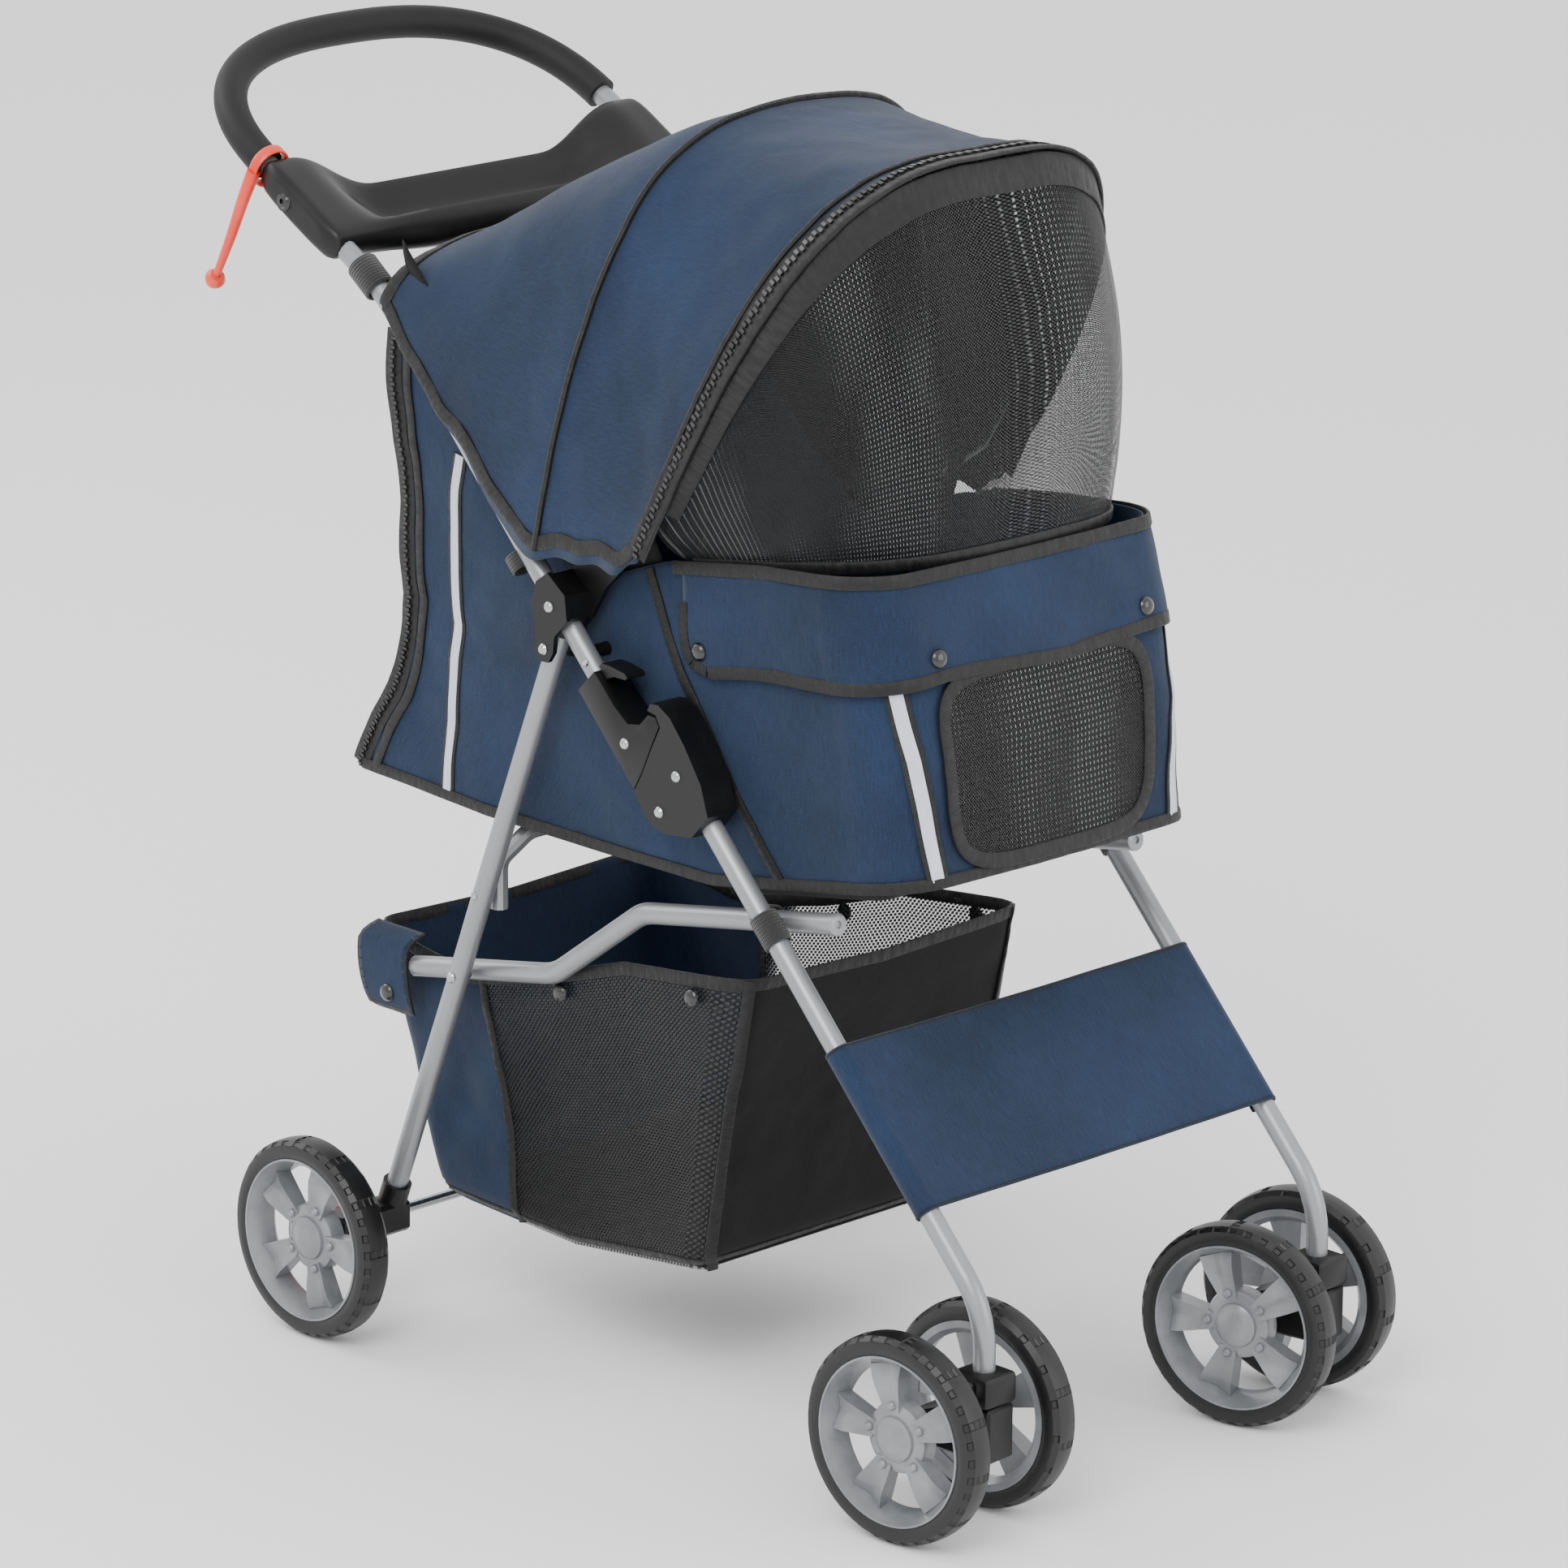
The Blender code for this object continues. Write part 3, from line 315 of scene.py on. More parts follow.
def powder_coat(name, code, light):
    """Silver tube paint with a fine orange peel."""
    tube = Finish(name, 0.34, 0.55, Coat_Weight=0.25, Coat_Roughness=0.3)
    where = tube.place()
    peel = tube.noise(where, 600.0, 2.0)
    cloud = tube.noise(where, 16.0, 3.0)
    tube.paint(tube.colour(cloud, code, light), (cloud - 0.5) * 0.14 + 0.36)
    tube.emboss(peel, 0.00005)
    return tube.material


def ribbed_web(name):
    """Flat webbing with a rib every two millimetres."""
    web = Finish(name, 0.7, Sheen_Weight=0.2)
    flat = web.place(cloth=True)
    across, along = web.axes(flat)
    rib = web.wave(across, 0.0024)
    pick = web.wave(along, 0.0016)
    web.paint(web.colour((rib * pick).soft(-0.6, 0.8), "060607", "1c1c1e"), 0.68)
    web.emboss(rib * 0.6 + pick * 0.5, 0.0004)
    return web.material


def night_tape(name):
    """Light grey reflective tape with a fine cell pattern."""
    tape = Finish(name, 0.35, 0.2, Specular_IOR_Level=0.7)
    flat = tape.place(cloth=True)
    across, along = tape.axes(flat)
    cell = (tape.wave(across + along, 0.0022) * tape.wave(across - along, 0.0022)).soft(-0.8, 0.8)
    smudge = tape.noise(flat, 60.0, 3.0)
    tape.paint(tape.colour(cell * 0.5 + smudge * 0.5, "aeb4c0", "d5d9e2"), 0.36)
    tape.emboss(cell, 0.00006)
    return tape.material


def bright_steel(name, code="c9cacb", rough=0.24):
    """Plated steel with a fine rub."""
    steel = Finish(name, rough, 1.0)
    where = steel.place()
    rub = steel.noise(where, 400.0, 3.0, 0.6)
    steel.paint(steel.colour(rub, code, "8f9193"), (rub - 0.5) * 0.25 + rough)
    steel.emboss(rub, 0.00004)
    return steel.material


BLUE = woven_cloth("blue_polyester", "0f1a2c", "20334f")
BLUE_INSIDE = woven_cloth("blue_polyester_inside", "0d1a2e", "1b2f4c")
LINING = woven_cloth("black_lining", "030304", "0a0a0b", 0.75, 0.00025, 0.04)
SATIN = satin_tape("satin_binding", "060607", "141415")
STITCH = woven_cloth("sewing_thread", "060607", "1a1a1c", 0.6)
# the light colour of each net is the painted highlight (glint) on its cords
NET = knitted_net("window_net", 0.0023, "030304", "a4a8ac", 0.1, 0.0042, 0.8)
BASKET_NET = knitted_net("basket_net", 0.0040, "030304", "1a1d22", 0.2, 0.0040, 0.5)
PLASTIC = moulded("black_plastic", "080808", "100f0f", 0.40, Specular_IOR_Level=0.35)
BUTTON = moulded("black_button", "0e0e0f", "18181a", 0.18, Coat_Weight=0.5)
FOAM = moulded("handle_foam_skin", "0a0909", "131212", 0.6, 900.0, 0.0002, Specular_IOR_Level=0.35)
TYRE = moulded("tyre_rubber", "060607", "101011", 0.42, 700.0, 0.00012)
RIM = moulded("silver_rim", "75777a", "8b8d90", 0.32, 1500.0, 0.00004, metallic=0.25, Coat_Weight=0.2)
SILVER = powder_coat("silver_powder_coat", "838588", "999b9e")
STEEL = bright_steel("zinc_steel")
DARK_STEEL = bright_steel("dark_wire", "2b2b2c", 0.4)
RED = moulded("red_plastic", "e2321f", "f0503c", 0.35, Subsurface_Weight=0.15)
WEB = ribbed_web("black_webbing")
NIGHT = night_tape("reflective_tape")
TEETH = moulded("zip_teeth_plastic", "121213", "2c2c2f", 0.3)

FINISH_OF = {"frame_tube": SILVER, "steel": STEEL, "black_plastic": PLASTIC, "foam": FOAM, "tyre": TYRE,
             "rim": RIM, "blue_fabric": BLUE, "mesh_fabric": LINING, "red_plastic": RED}
for part in frame["record"]["subparts"]:
    node = NODES[part["node"]]
    finish = FINISH_OF[part["material_slot"]]
    if "hoop" in node.name:
        finish = DARK_STEEL
    node.data.materials.clear()
    node.data.materials.append(finish)
    node.data.shade_smooth()
    weld = node.modifiers.new("join", "WELD")
    weld.merge_threshold = 1e-5
    crisp = node.modifiers.new("crisp", "EDGE_SPLIT")
    crisp.split_angle = radians(34)


# ======== making pieces
def finished(name, bm, finish, body, extra=(), angle=40):
    """Object from a bmesh, with its finish; it joins body's empty, and is left unattached where body is None."""
    mesh = bpy.data.meshes.new(name)
    bm.to_mesh(mesh)
    bm.free()
    mesh.shade_smooth()
    mesh.set_sharp_from_angle(angle=radians(angle))
    obj = shown(name, mesh)
    for material in (finish,) + tuple(extra):
        mesh.materials.append(material)
    if body:
        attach(obj, body)
    return obj


def path_length(points):
    return sum((b - a).length for a, b in zip(points, points[1:]))


def sheet_mesh(surface, across, along, chart=None):
    """Grid laid over a surface(u, v); the cloth map is in metres, by default across and up."""
    bm = bmesh.new()
    cloth = bm.loops.layers.uv.new("cloth")
    bmesh.ops.create_grid(bm, x_segments=across, y_segments=along, size=0.5, calc_uvs=True)
    shares = {vert: tuple(min(max(place + 0.5, 0.0), 1.0) for place in vert.co.xy) for vert in bm.verts}
    width = path_length([surface(k / 12, 0.5) for k in range(13)])
    height = path_length([surface(0.5, k / 12) for k in range(13)])
    for face in bm.faces:
        for loop in face.loops:
            u, v = shares[loop.vert]
            loop[cloth].uv = chart(surface(u, v)) if chart else (u * width, v * height)
    for vert, (u, v) in shares.items():
        vert.co = surface(u, v)
    return bm


def cloth_piece(name, surface, across, along, finish, body, slot,
                thickness=1.0, inside=None, offset=0.0, chart=None):
    """Cloth with a real thickness; the inner face may have its own finish."""
    bm = sheet_mesh(surface, across, along, chart)
    obj = finished(name, bm, finish, body, (inside,) if inside else (), 60)
    solid = obj.modifiers.new("cloth", "SOLIDIFY")
    solid.thickness = thickness * MM
    solid.offset = offset
    if inside:
        solid.material_offset = 1
        solid.material_offset_rim = 0
    return obj


def slope(surface, u, v, step=0.004):
    """Outward normal of a surface at (u, v)."""
    a = surface(min(u + step, 1), v) - surface(max(u - step, 0), v)
    b = surface(u, min(v + step, 1)) - surface(u, max(v - step, 0))
    return a.cross(b).normalized()


def swept_mesh(points, normals, section, closed=False):
    """Closed section of (side, lift) points carried along a path."""
    rows = len(points)
    count = len(section)
    own = bmesh.new()
    cloth = own.loops.layers.uv.new("cloth")
    made = bmesh.ops.create_grid(own, x_segments=count, y_segments=rows - 1, size=0.5)["verts"]
    length = [0.0]
    for a, b in zip(points, points[1:]):
        length.append(length[-1] + (b - a).length)
    girth = [0.0]
    for k in range(count):
        a, b = section[k], section[(k + 1) % count]
        girth.append(girth[-1] + dist(a, b) * MM)
    places = {}
    for vert in made:
        places[vert] = (round((vert.co.x + 0.5) * count), round((vert.co.y + 0.5) * (rows - 1)))
    for vert, (k, row) in places.items():
        before = points[row - 1] if row else (points[-2] if closed else points[0])
        after = points[row + 1] if row < rows - 1 else (points[1] if closed else points[-1])
        along = (after - before).normalized()
        normal = normals[row]
        side = normal.cross(along).normalized()
        lift = along.cross(side)
        reach, height = section[k % count]
        vert.co = points[row] + (side * reach + lift * height) * MM
    for face in {face for vert in made for face in vert.link_faces}:
        for loop in face.loops:
            k, row = places[loop.vert]
            loop[cloth].uv = (girth[k], length[row])
    bmesh.ops.remove_doubles(own, verts=made, dist=1e-6)
    if not closed:
        rim = [edge for edge in own.edges if edge.is_boundary]
        bmesh.ops.holes_fill(own, edges=rim, sides=0)
    bmesh.ops.recalc_face_normals(own, faces=own.faces)
    return own


def flat_section(width, thickness, steps=3):
    """Flattened band section with round edges."""
    half, lift = width / 2, thickness / 2
    points = []
    for end in (1, -1):
        for k in range(steps + 1):
            turn = pi * k / steps - end * pi / 2
            points.append((end * (half - lift) + lift * cos(turn), lift * sin(turn)))
    return points


def round_section(radius, steps=12):
    return [(radius * cos(2 * pi * k / steps), radius * sin(2 * pi * k / steps))
            for k in range(steps)]


def level_normals(points, up=(0, 0, 1)):
    """Normals for a round piece: square to the path, turning as little as they can."""
    normals = []
    last = Vector(up)
    for k in range(len(points)):
        along = (points[min(k + 1, len(points) - 1)] - points[max(k - 1, 0)]).normalized()
        last = (last - along * last.dot(along))
        if last.length < 1e-6:
            last = along.orthogonal()
        last = last.normalized()
        normals.append(last)
    return normals


def line_on(surface, ends, steps, lift=0.0, waver=0.0):
    """Points and normals along a path of (u, v) corners on a surface."""
    points, normals = [], []
    for k in range(steps + 1):
        u, v = flowing([Vector((p[0], p[1])) for p in ends], k / steps)
        normal = slope(surface, u, v)
        sway = noise.noise(Vector((k * 0.21, ends[0][0] * 7, ends[0][1] * 5))) * waver
        points.append(surface(u, v) + normal * (lift + sway) * MM)
        normals.append(normal)
    return points, normals


def taped(group, surface, body="rail_frame", lift=0.6, waver=0.0):
    """Maker of bindings on one surface that all join a group."""
    def lay(name, ends, steps, width, thickness, lift=lift, waver=waver, finish=SATIN, over=surface):
        band = swept_mesh(*line_on(over, ends, steps, lift, waver), flat_section(width, thickness))
        group.append(finished(name, band, finish, body))

    return lay


def draped(group, body="rail_frame"):
    """Maker of cloth pieces of one body that all join a group."""
    def lay(name, surface, across, along, finish, slot, *rest, **extra):
        group.append(cloth_piece(name, surface, across, along, finish, body, slot, *rest, **extra))
        return group[-1]

    return lay


def zip_teeth(name, points, normals, body, pitch=3.4, width=5.2, height=2.4):
    """Interlocked coarse teeth, alternately left and right of the line."""
    bm = bmesh.new()
    travelled, target, count = 0.0, 0.0, 0
    for k in range(len(points) - 1):
        step = points[k + 1] - points[k]
        length = step.length
        along = step.normalized()
        while target <= travelled + length:
            spot = points[k] + along * (target - travelled)
            side = normals[k].cross(along).normalized()
            turn = Matrix((side, along, normals[k])).transposed().to_4x4()
            shift = (1 if count % 2 else -1) * width * 0.14 * MM
            size = Matrix.Diagonal((width * 0.72 * MM, pitch * 0.62 * MM, height * MM, 1))
            where = Matrix.Translation(spot + side * shift) @ turn @ size
            bmesh.ops.create_cube(bm, size=1.0, matrix=where)
            target += pitch * MM
            count += 1
        travelled += length
    return finished(name, bm, TEETH, body)


def turned(profile, steps):
    """Profile of (radius, height) points spun about Z into a closed shape."""
    bm = bmesh.new()
    verts = [bm.verts.new((r * MM, 0, h * MM)) for r, h in profile]
    edges = [bm.edges.new(pair) for pair in zip(verts, verts[1:])]
    bmesh.ops.spin(bm, geom=verts + edges, cent=(0, 0, 0), axis=(0, 0, 1), angle=2 * pi,
                   steps=steps, use_merge=True, use_duplicate=False)
    bmesh.ops.remove_doubles(bm, verts=bm.verts, dist=1e-7)
    bmesh.ops.recalc_face_normals(bm, faces=bm.faces)
    return bm


def facing(point, direction):
    """Matrix that takes local +Z at the origin to direction at point."""
    turn = Vector((0, 0, 1)).rotation_difference(Vector(direction))
    return Matrix.Translation(point) @ turn.to_matrix().to_4x4()


def gather(parts, where):
    """One bmesh from several, moved to where."""
    whole = bmesh.new()
    for part in parts:
        mesh = bpy.data.meshes.new("part")
        part.to_mesh(mesh)
        part.free()
        whole.from_mesh(mesh)
        bpy.data.meshes.remove(mesh)
    whole.transform(where)
    return whole


def studs(name, places, profile, finish, body, steps=20):
    """Several turned heads as one piece: (point, direction) for each."""
    heads = []
    for point, direction in places:
        heads.append(turned(profile, steps))
        heads[-1].transform(facing(point, direction))
    return finished(name, gather(heads, Matrix.Identity(4)), finish, body)


def paired_studs(name, x, y, z, direction, profile, finish, body, slot):
    """The same head on both sides."""
    places = [(at(sign * x, y, z), (sign * direction[0],) + direction[1:]) for sign in (-1, 1)]
    studs(name, places, profile, finish, body)


RIVET_HEAD = [(0, 2.2), (1.6, 2.1), (3.2, 1.5), (4.1, 0.5), (4.3, -0.3), (0, -0.3)]
SNAP_HEAD = [(0, 3.4), (2.5, 3.2), (5.0, 2.5), (6.4, 1.2), (6.8, 0.2), (6.4, -0.6), (0, -0.6)]


def snaps(name, places):
    return studs(name, places, SNAP_HEAD, BUTTON, "rail_frame", 24)


def on_tube(u, n):
    """Side-view point in the handle tube's own axes, measured from the fold pivot."""
    return (9 + UP_TUBE[0] * u - UP_TUBE[1] * n, 452.6 + UP_TUBE[1] * u + UP_TUBE[0] * n)


# ======== cabin
CABIN_X = 148
# half of the flat front, the corner's run across, the front's bow and the corner's depth
FLAT_X, CORNER_RUN, FRONT_BOW, CORNER_DEPTH = 112, 36, 4, 56
CABIN_FRONT = [(0.0, -204), (0.415, -193), (1.0, -165)]
CABIN_REAR = [(0.0, 364), (0.195, 328), (0.417, 306), (0.6, 312), (0.757, 320), (1.0, 322)]
CABIN_BASE = [(-210, 433), (-86, 411), (-8, 397.5), (230, 397.5), (364, 404)]
CABIN_RIM = [(-170, 644), (-60, 636), (40, 621), (104, 598), (150, 606), (230, 680), (300, 742),
             (322, 742)]
FRONT_SHARE, CORNER_SHARE = 0.18, 0.31


def crumple(point, size, seed):
    """Small smooth wrinkle, -1 to 1."""
    return noise.noise(Vector(point) / size + Vector((seed, 0, 0)))


def cabin_wall(u, v, proud=0.0):
    """Wall of the cabin from rear right, round the front, to rear left; v runs up."""
    sign = -1 if u < 0.5 else 1
    share = abs(2 * u - 1)
    front, rear = between(CABIN_FRONT, v), between(CABIN_REAR, v)
    if share <= FRONT_SHARE:
        t = share / FRONT_SHARE
        x, depth, out = FLAT_X * t, FRONT_BOW * t * t, Vector((0.06 * t, -1, 0))
    elif share <= CORNER_SHARE:
        turn = (share - FRONT_SHARE) / (CORNER_SHARE - FRONT_SHARE) * pi / 2
        x = FLAT_X + CORNER_RUN * sin(turn)
        depth = FRONT_BOW + (CORNER_DEPTH - FRONT_BOW) * (1 - cos(turn))
        out = Vector((sin(turn), -cos(turn), 0))
    else:
        x, depth, out = CABIN_X, CORNER_DEPTH, Vector((1, 0, 0))
    back = max(0.0, (share - CORNER_SHARE) / (1 - CORNER_SHARE))
    y = mix(front + depth, rear, back)
    base_y = mix(CABIN_FRONT[0][1] + depth, CABIN_REAR[0][1], back)
    rim_y = mix(CABIN_FRONT[-1][1] + depth, CABIN_REAR[-1][1], back)
    z = mix(between(CABIN_BASE, base_y), between(CABIN_RIM, rim_y), v)
    belly = (3.0 * hump(min(back * 1.2, 1)) if back else 2.0) * hump(v)
    wrinkle = 2.2 * crumple((y * 1.4, z * 0.7, x), 62, 3) + 0.9 * crumple((y, z, x), 24, 8)
    waves = ease((back - 0.80) / 0.2) * 7 * sin(v * 15 + 0.6)
    out.x *= sign
    edge = min(1, v * 9) * min(1, (1 - v) * 9)
    spot = Vector((sign * x, y + waves * 0.5, z)) + out * (belly + wrinkle * edge + proud)
    return at(*spot)


def wall_share(y, v, sign=-1):
    """u on the cabin wall's straight side where it passes y at height v."""
    front, rear = between(CABIN_FRONT, v) + CORNER_DEPTH, between(CABIN_REAR, v)
    back = (y - front) / (rear - front)
    share = CORNER_SHARE + (1 - CORNER_SHARE) * min(max(back, 0), 1)
    return 0.5 + sign * share / 2


def front_share(x):
    """u on the cabin's front where it passes x."""
    if abs(x) <= FLAT_X:
        return 0.5 + copysign(abs(x) / FLAT_X * FRONT_SHARE / 2, x)
    turn = asin(min(1, (abs(x) - FLAT_X) / CORNER_RUN))
    share = FRONT_SHARE + (CORNER_SHARE - FRONT_SHARE) * turn / (pi / 2)
    return 0.5 + copysign(share / 2, x)


cabin_parts = []
cabin_sheet = draped(cabin_parts)
cabin_tape = taped(cabin_parts, cabin_wall)
wall = cabin_sheet("cabin_wall", cabin_wall, 180, 44, BLUE, "blue_fabric", 1.4, BLUE_INSIDE, -1.0)
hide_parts("cabin")


def rear_wall(u, v):
    edge = cabin_wall(0.0, v)
    x = mix(-CABIN_X, CABIN_X, u)
    bow = 6 * hump(u) + 2 * crumple((x, v * 300, 0), 60, 5)
    return Vector((ZERO.x + x * MM, edge.y + bow * MM, edge.z))


cabin_sheet("cabin_rear", rear_wall, 48, 40, BLUE, "blue_fabric", 1.4, BLUE_INSIDE, -1.0)


def cabin_floor(u, v):
    y = mix(-196, 356, v)
    x = mix(-1, 1, u) * (CABIN_X - 2 - 26 * ease((-150 - y) / 50))
    return at(x, y, between(CABIN_BASE, y) + 3)


cabin_sheet("cabin_floor", cabin_floor, 24, 40, LINING, "mesh_fabric", 3.0)


def under_tray(u, v):
    """Shallow black board pocket hanging under the floor."""
    turn = mix(-1, 1, u)
    drop = 14 * ease((1 - abs(turn)) / 0.12) * ease(v / 0.08) * ease((1 - v) / 0.08)
    y = mix(-182, 330, v)
    x = turn * (CABIN_X - 16 - 26 * ease((-140 - y) / 45))
    return at(x, y, between(CABIN_BASE, y) + 1 - drop)


cabin_sheet("cabin_board_pocket", under_tray, 40, 60, LINING, "mesh_fabric", 1.2)

FLAP_LOW = 0.665


def flap(u, v):
    """Front flap folded down over the cabin's top edge."""
    start, end = wall_share(22, 1.0, -1), wall_share(22, 1.0, 1)
    low = mix(0.70, FLAP_LOW, ease(min(u, 1 - u) / 0.04)) + 0.01 * sin(u * 21)
    puff = 2.4 + 2.0 * (1 - v) + 1.6 * crumple((u * 900, v * 90, 0), 70, 11)
    return cabin_wall(mix(start, end, u), mix(low, 1.0, v), puff)


cabin_sheet("front_flap", flap, 150, 16, BLUE, "blue_fabric", 1.2)
hem = [(0.0, 0.6), (0.004, 0.02), (0.05, 0.0), (0.3, 0.0), (0.5, 0.0), (0.7, 0.0), (0.95, 0.0),
       (0.996, 0.02), (1.0, 0.6)]
cabin_tape("front_flap_hem", hem, 160, 9.5, 2.4, 0.4, 0.8, over=flap)
rim = [(u, 0.985) for u in (wall_share(30, 1.0, -1), 0.4, 0.5, 0.6, wall_share(30, 1.0, 1))]
cabin_tape("cabin_rim_binding", rim, 150, 10, 3.0, 3.4, 0.5)
base = [(u, 0.012) for u in (0.002, 0.25, 0.4, 0.5, 0.6, 0.75, 0.998)]
cabin_tape("cabin_base_binding", base, 220, 9, 3.2, 0.6, 0.7)


def upright(u, low=0.01, high=0.99):
    return [(u, v) for v in (low, 0.3, 0.6, high)]


for side, sign in SIDES:
    seam = [(wall_share(57, 1.0, sign), 0.99)]
    seam += [(wall_share(y, v, sign), v) for y, v in ((22, 0.66), (-32, 0.3), (-77, 0.02))]
    cabin_tape("side_seam_binding_" + side, seam, 60, 9, 2.2, 0.6, 0.8)
    cabin_tape("rear_edge_binding_" + side, upright(0.5 + sign * 0.488), 70, 8, 2.6, 1.0, 0.8)
    edge = 0.5 + sign * 0.4995
    cabin_tape("rear_zip_tape_" + side, upright(edge), 70, 17, 1.6, 0.2, 0.6)
    points, normals = line_on(cabin_wall, upright(edge, 0.012, 0.98), 120, 1.6)
    cabin_parts.append(zip_teeth("rear_zip_" + side, points, normals, "rail_frame"))
    strip = [(wall_share(y, v, sign), v) for y, v in ((252, 0.86), (258, 0.6), (262, 0.3), (269, 0.02))]
    cabin_tape("side_strip_edge_" + side, strip, 60, 14.5, 1.2, 0.5)
    cabin_tape("side_strip_" + side, strip, 60, 8.5, 1.4, 1.0, finish=NIGHT)
    strip = [(front_share(sign * x), v) for x, v in ((133, 0.70), (130, 0.5), (124, 0.25), (118, 0.02))]
    cabin_tape("front_strip_edge_" + side, strip, 60, 17, 1.2, 0.5)
    cabin_tape("front_strip_" + side, strip, 60, 10, 1.4, 1.0, finish=NIGHT)


def front_net(u, v):
    """Net window in the front wall: a rounded square a little proud of the cloth."""
    a, b = 2 * u - 1, 2 * v - 1
    reach = max(abs(a), abs(b), 1e-9)
    spread = max((abs(a) ** 5 + abs(b) ** 5) ** 0.2, 1e-9)
    a, b = a * reach / spread, b * reach / spread
    x = -4 + a * (99 + 4 * b)
    return cabin_wall(front_share(x), 0.35 + b * 0.315, 1.6)


def net_layer(lift):
    return lambda u, v: front_net(u, v) - Vector((0, lift * MM, 0))


cabin_sheet("front_net_backing", net_layer(-0.6), 40, 30, LINING, "mesh_fabric", 0.5)
cabin_sheet("front_net", net_layer(1.0), 40, 30, NET, "mesh_fabric", 0.3,
            chart=lambda spot: (spot.x, spot.z))
NET_RING_STEPS = 120
ring = []
for k in range(NET_RING_STEPS + 1):
    turn = 2 * pi * k / NET_RING_STEPS
    a, b = cos(turn), sin(turn)
    big = max(abs(a), abs(b))
    ring.append(net_layer(1.2)(0.5 + a / big / 2, 0.5 + b / big / 2))
ring_normals = [Vector((0, -1, 0.12)).normalized()] * len(ring)
band = swept_mesh(ring, ring_normals, flat_section(11, 3), True)
cabin_parts.append(finished("front_net_binding", band, SATIN, "rail_frame"))

snap_places = []
for u, proud in ((front_share(-103), 6.0), (front_share(103), 6.0),
                 (wall_share(-2, 0.72, -1), 6.5), (wall_share(-2, 0.72, 1), 6.5)):
    snap_places.append((cabin_wall(u, 0.735, proud), slope(cabin_wall, u, 0.735)))
cabin_parts.append(snaps("flap_snaps", snap_places))

# ======== canopy
CANOPY_X = 182
# from rear to front: (y, z) of the canopy's lower edge and of its crown
CANOPY_ROWS = [((297, 762), (284, 812)), ((262, 724), (232, 845)), ((215, 672), (170, 885)),
               ((160, 620), (86, 920)), ((104, 612), (28, 920)), ((60, 618), (-48, 916)),
               ((34, 626), (-124, 912))]
CANOPY_BASE = [Vector(row[0]) for row in CANOPY_ROWS]
CANOPY_CROWN = [Vector(row[1]) for row in CANOPY_ROWS]
MID_PLACE = 0.56


def canopy_skin(u, v, proud=0.0):
    """Canopy over its two hoops: u from the left base to the right, v from rear to front."""
    turn = pi * u
    side = copysign(abs(cos(turn)) ** 0.62, cos(turn))
    rise = abs(sin(turn)) ** 0.72
    y, z = mix(flowing(CANOPY_BASE, v), flowing(CANOPY_CROWN, v), rise)
    hang = abs(v - MID_PLACE) / (1 - MID_PLACE if v > MID_PLACE else MID_PLACE)
    sag = 7.0 * sin(pi * min(hang, 1)) * rise
    low = 1 - ease(rise / 0.35)
    wrinkle = 2.4 * crumple((side * 150, y * 0.8, z * 0.5), 75, 21)
    wrinkle += 1.0 * crumple((side * 150, y, z), 26, 22)
    wavy = low * (3.5 * sin(v * 19 + 1) + 2.0 * sin(v * 43))
    spot = Vector((side * CANOPY_X, y, z + wavy))
    outward = Vector((spot.x * (1 if abs(side) > 0.5 else 0.6), 0, (z - 700) * rise)).normalized()
    spot -= outward * (sag * 0.8 - wrinkle * min(1, rise * 4) - proud)
    return at(*spot)


canopy = cloth_piece("canopy_cloth", canopy_skin, 120, 90, BLUE, None, "blue_fabric", 1.2, LINING, -1.0)
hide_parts("canopy")
canopy_parts = [canopy]
canopy_tape = taped(canopy_parts, canopy_skin, None, 0.5, 0.6)


def v_line(v):
    return [(mix(0.002, 0.998, k / 8), v) for k in range(9)]


canopy_tape("canopy_front_binding", v_line(0.992), 200, 11, 3.2)
canopy_tape("canopy_zip_tape", v_line(0.962), 200, 19, 1.4)
canopy_tape("canopy_zip_binding", v_line(0.927), 200, 5.0, 3.4, 1.2, 0.3)
canopy_tape("canopy_rear_binding", v_line(0.008), 120, 10, 3.0)
canopy_tape("canopy_mid_piping", v_line(MID_PLACE), 160, 5.0, 4.6, 1.6, 0.2)
for side, u in (("left", 0.004), ("right", 0.996)):
    canopy_tape("canopy_low_binding_" + side, [(u, k / 8) for k in range(9)], 120, 11, 3.0, 0.4, 1.2)
points, normals = line_on(canopy_skin, v_line(0.962), 260, 1.8)
canopy_parts.append(zip_teeth("canopy_zip", points, normals, None, 4.4, 7.0, 3.0))

canopy_sheet = draped(canopy_parts, None)
for side, sign in SIDES:
    def skirt(u, v, sign=sign):
        """Inner cloth from the cabin's rim up to the canopy, between pet and tube."""
        share = mix(0.06, 0.90, u if sign < 0 else 1 - u)
        low = flowing(CANOPY_BASE, share)
        rim = min(between(CABIN_RIM, low.x), low.y)
        return at(sign * mix(143, 172, ease(v)), low.x, mix(rim - 12, low.y + 62, v))

    canopy_sheet("canopy_skirt_" + side, skirt, 40, 10, LINING, "mesh_fabric", 0.8)

# ======== front window
def window_net(u, v):
    """Net panel from the front arch (v = 1) down to the cabin's front edge."""
    top = canopy_skin(mix(0.988, 0.012, u), 1.0, -2.5)
    turn = pi * u
    side = -copysign(abs(cos(turn)) ** 0.55, cos(turn)) * (CABIN_X - 2)
    y = 24 - 188 * abs(sin(turn)) ** 0.62
    z = 646 - 21 * (y + 164) / 184
    low = at(side, y, z)
    spot = low.lerp(top, v)
    swell = hump(v) * hump(u)
    spot += Vector((0, -20 * MM * swell, 0))
    spot += Vector((side / 148 * 4 * MM * hump(v), 0, 0))
    ripple = crumple((spot.x / MM * 1.2, spot.z / MM * 0.3, 0), 30, 31) * 2.5 * hump(v)
    return spot + Vector((0, ripple * MM, 0))


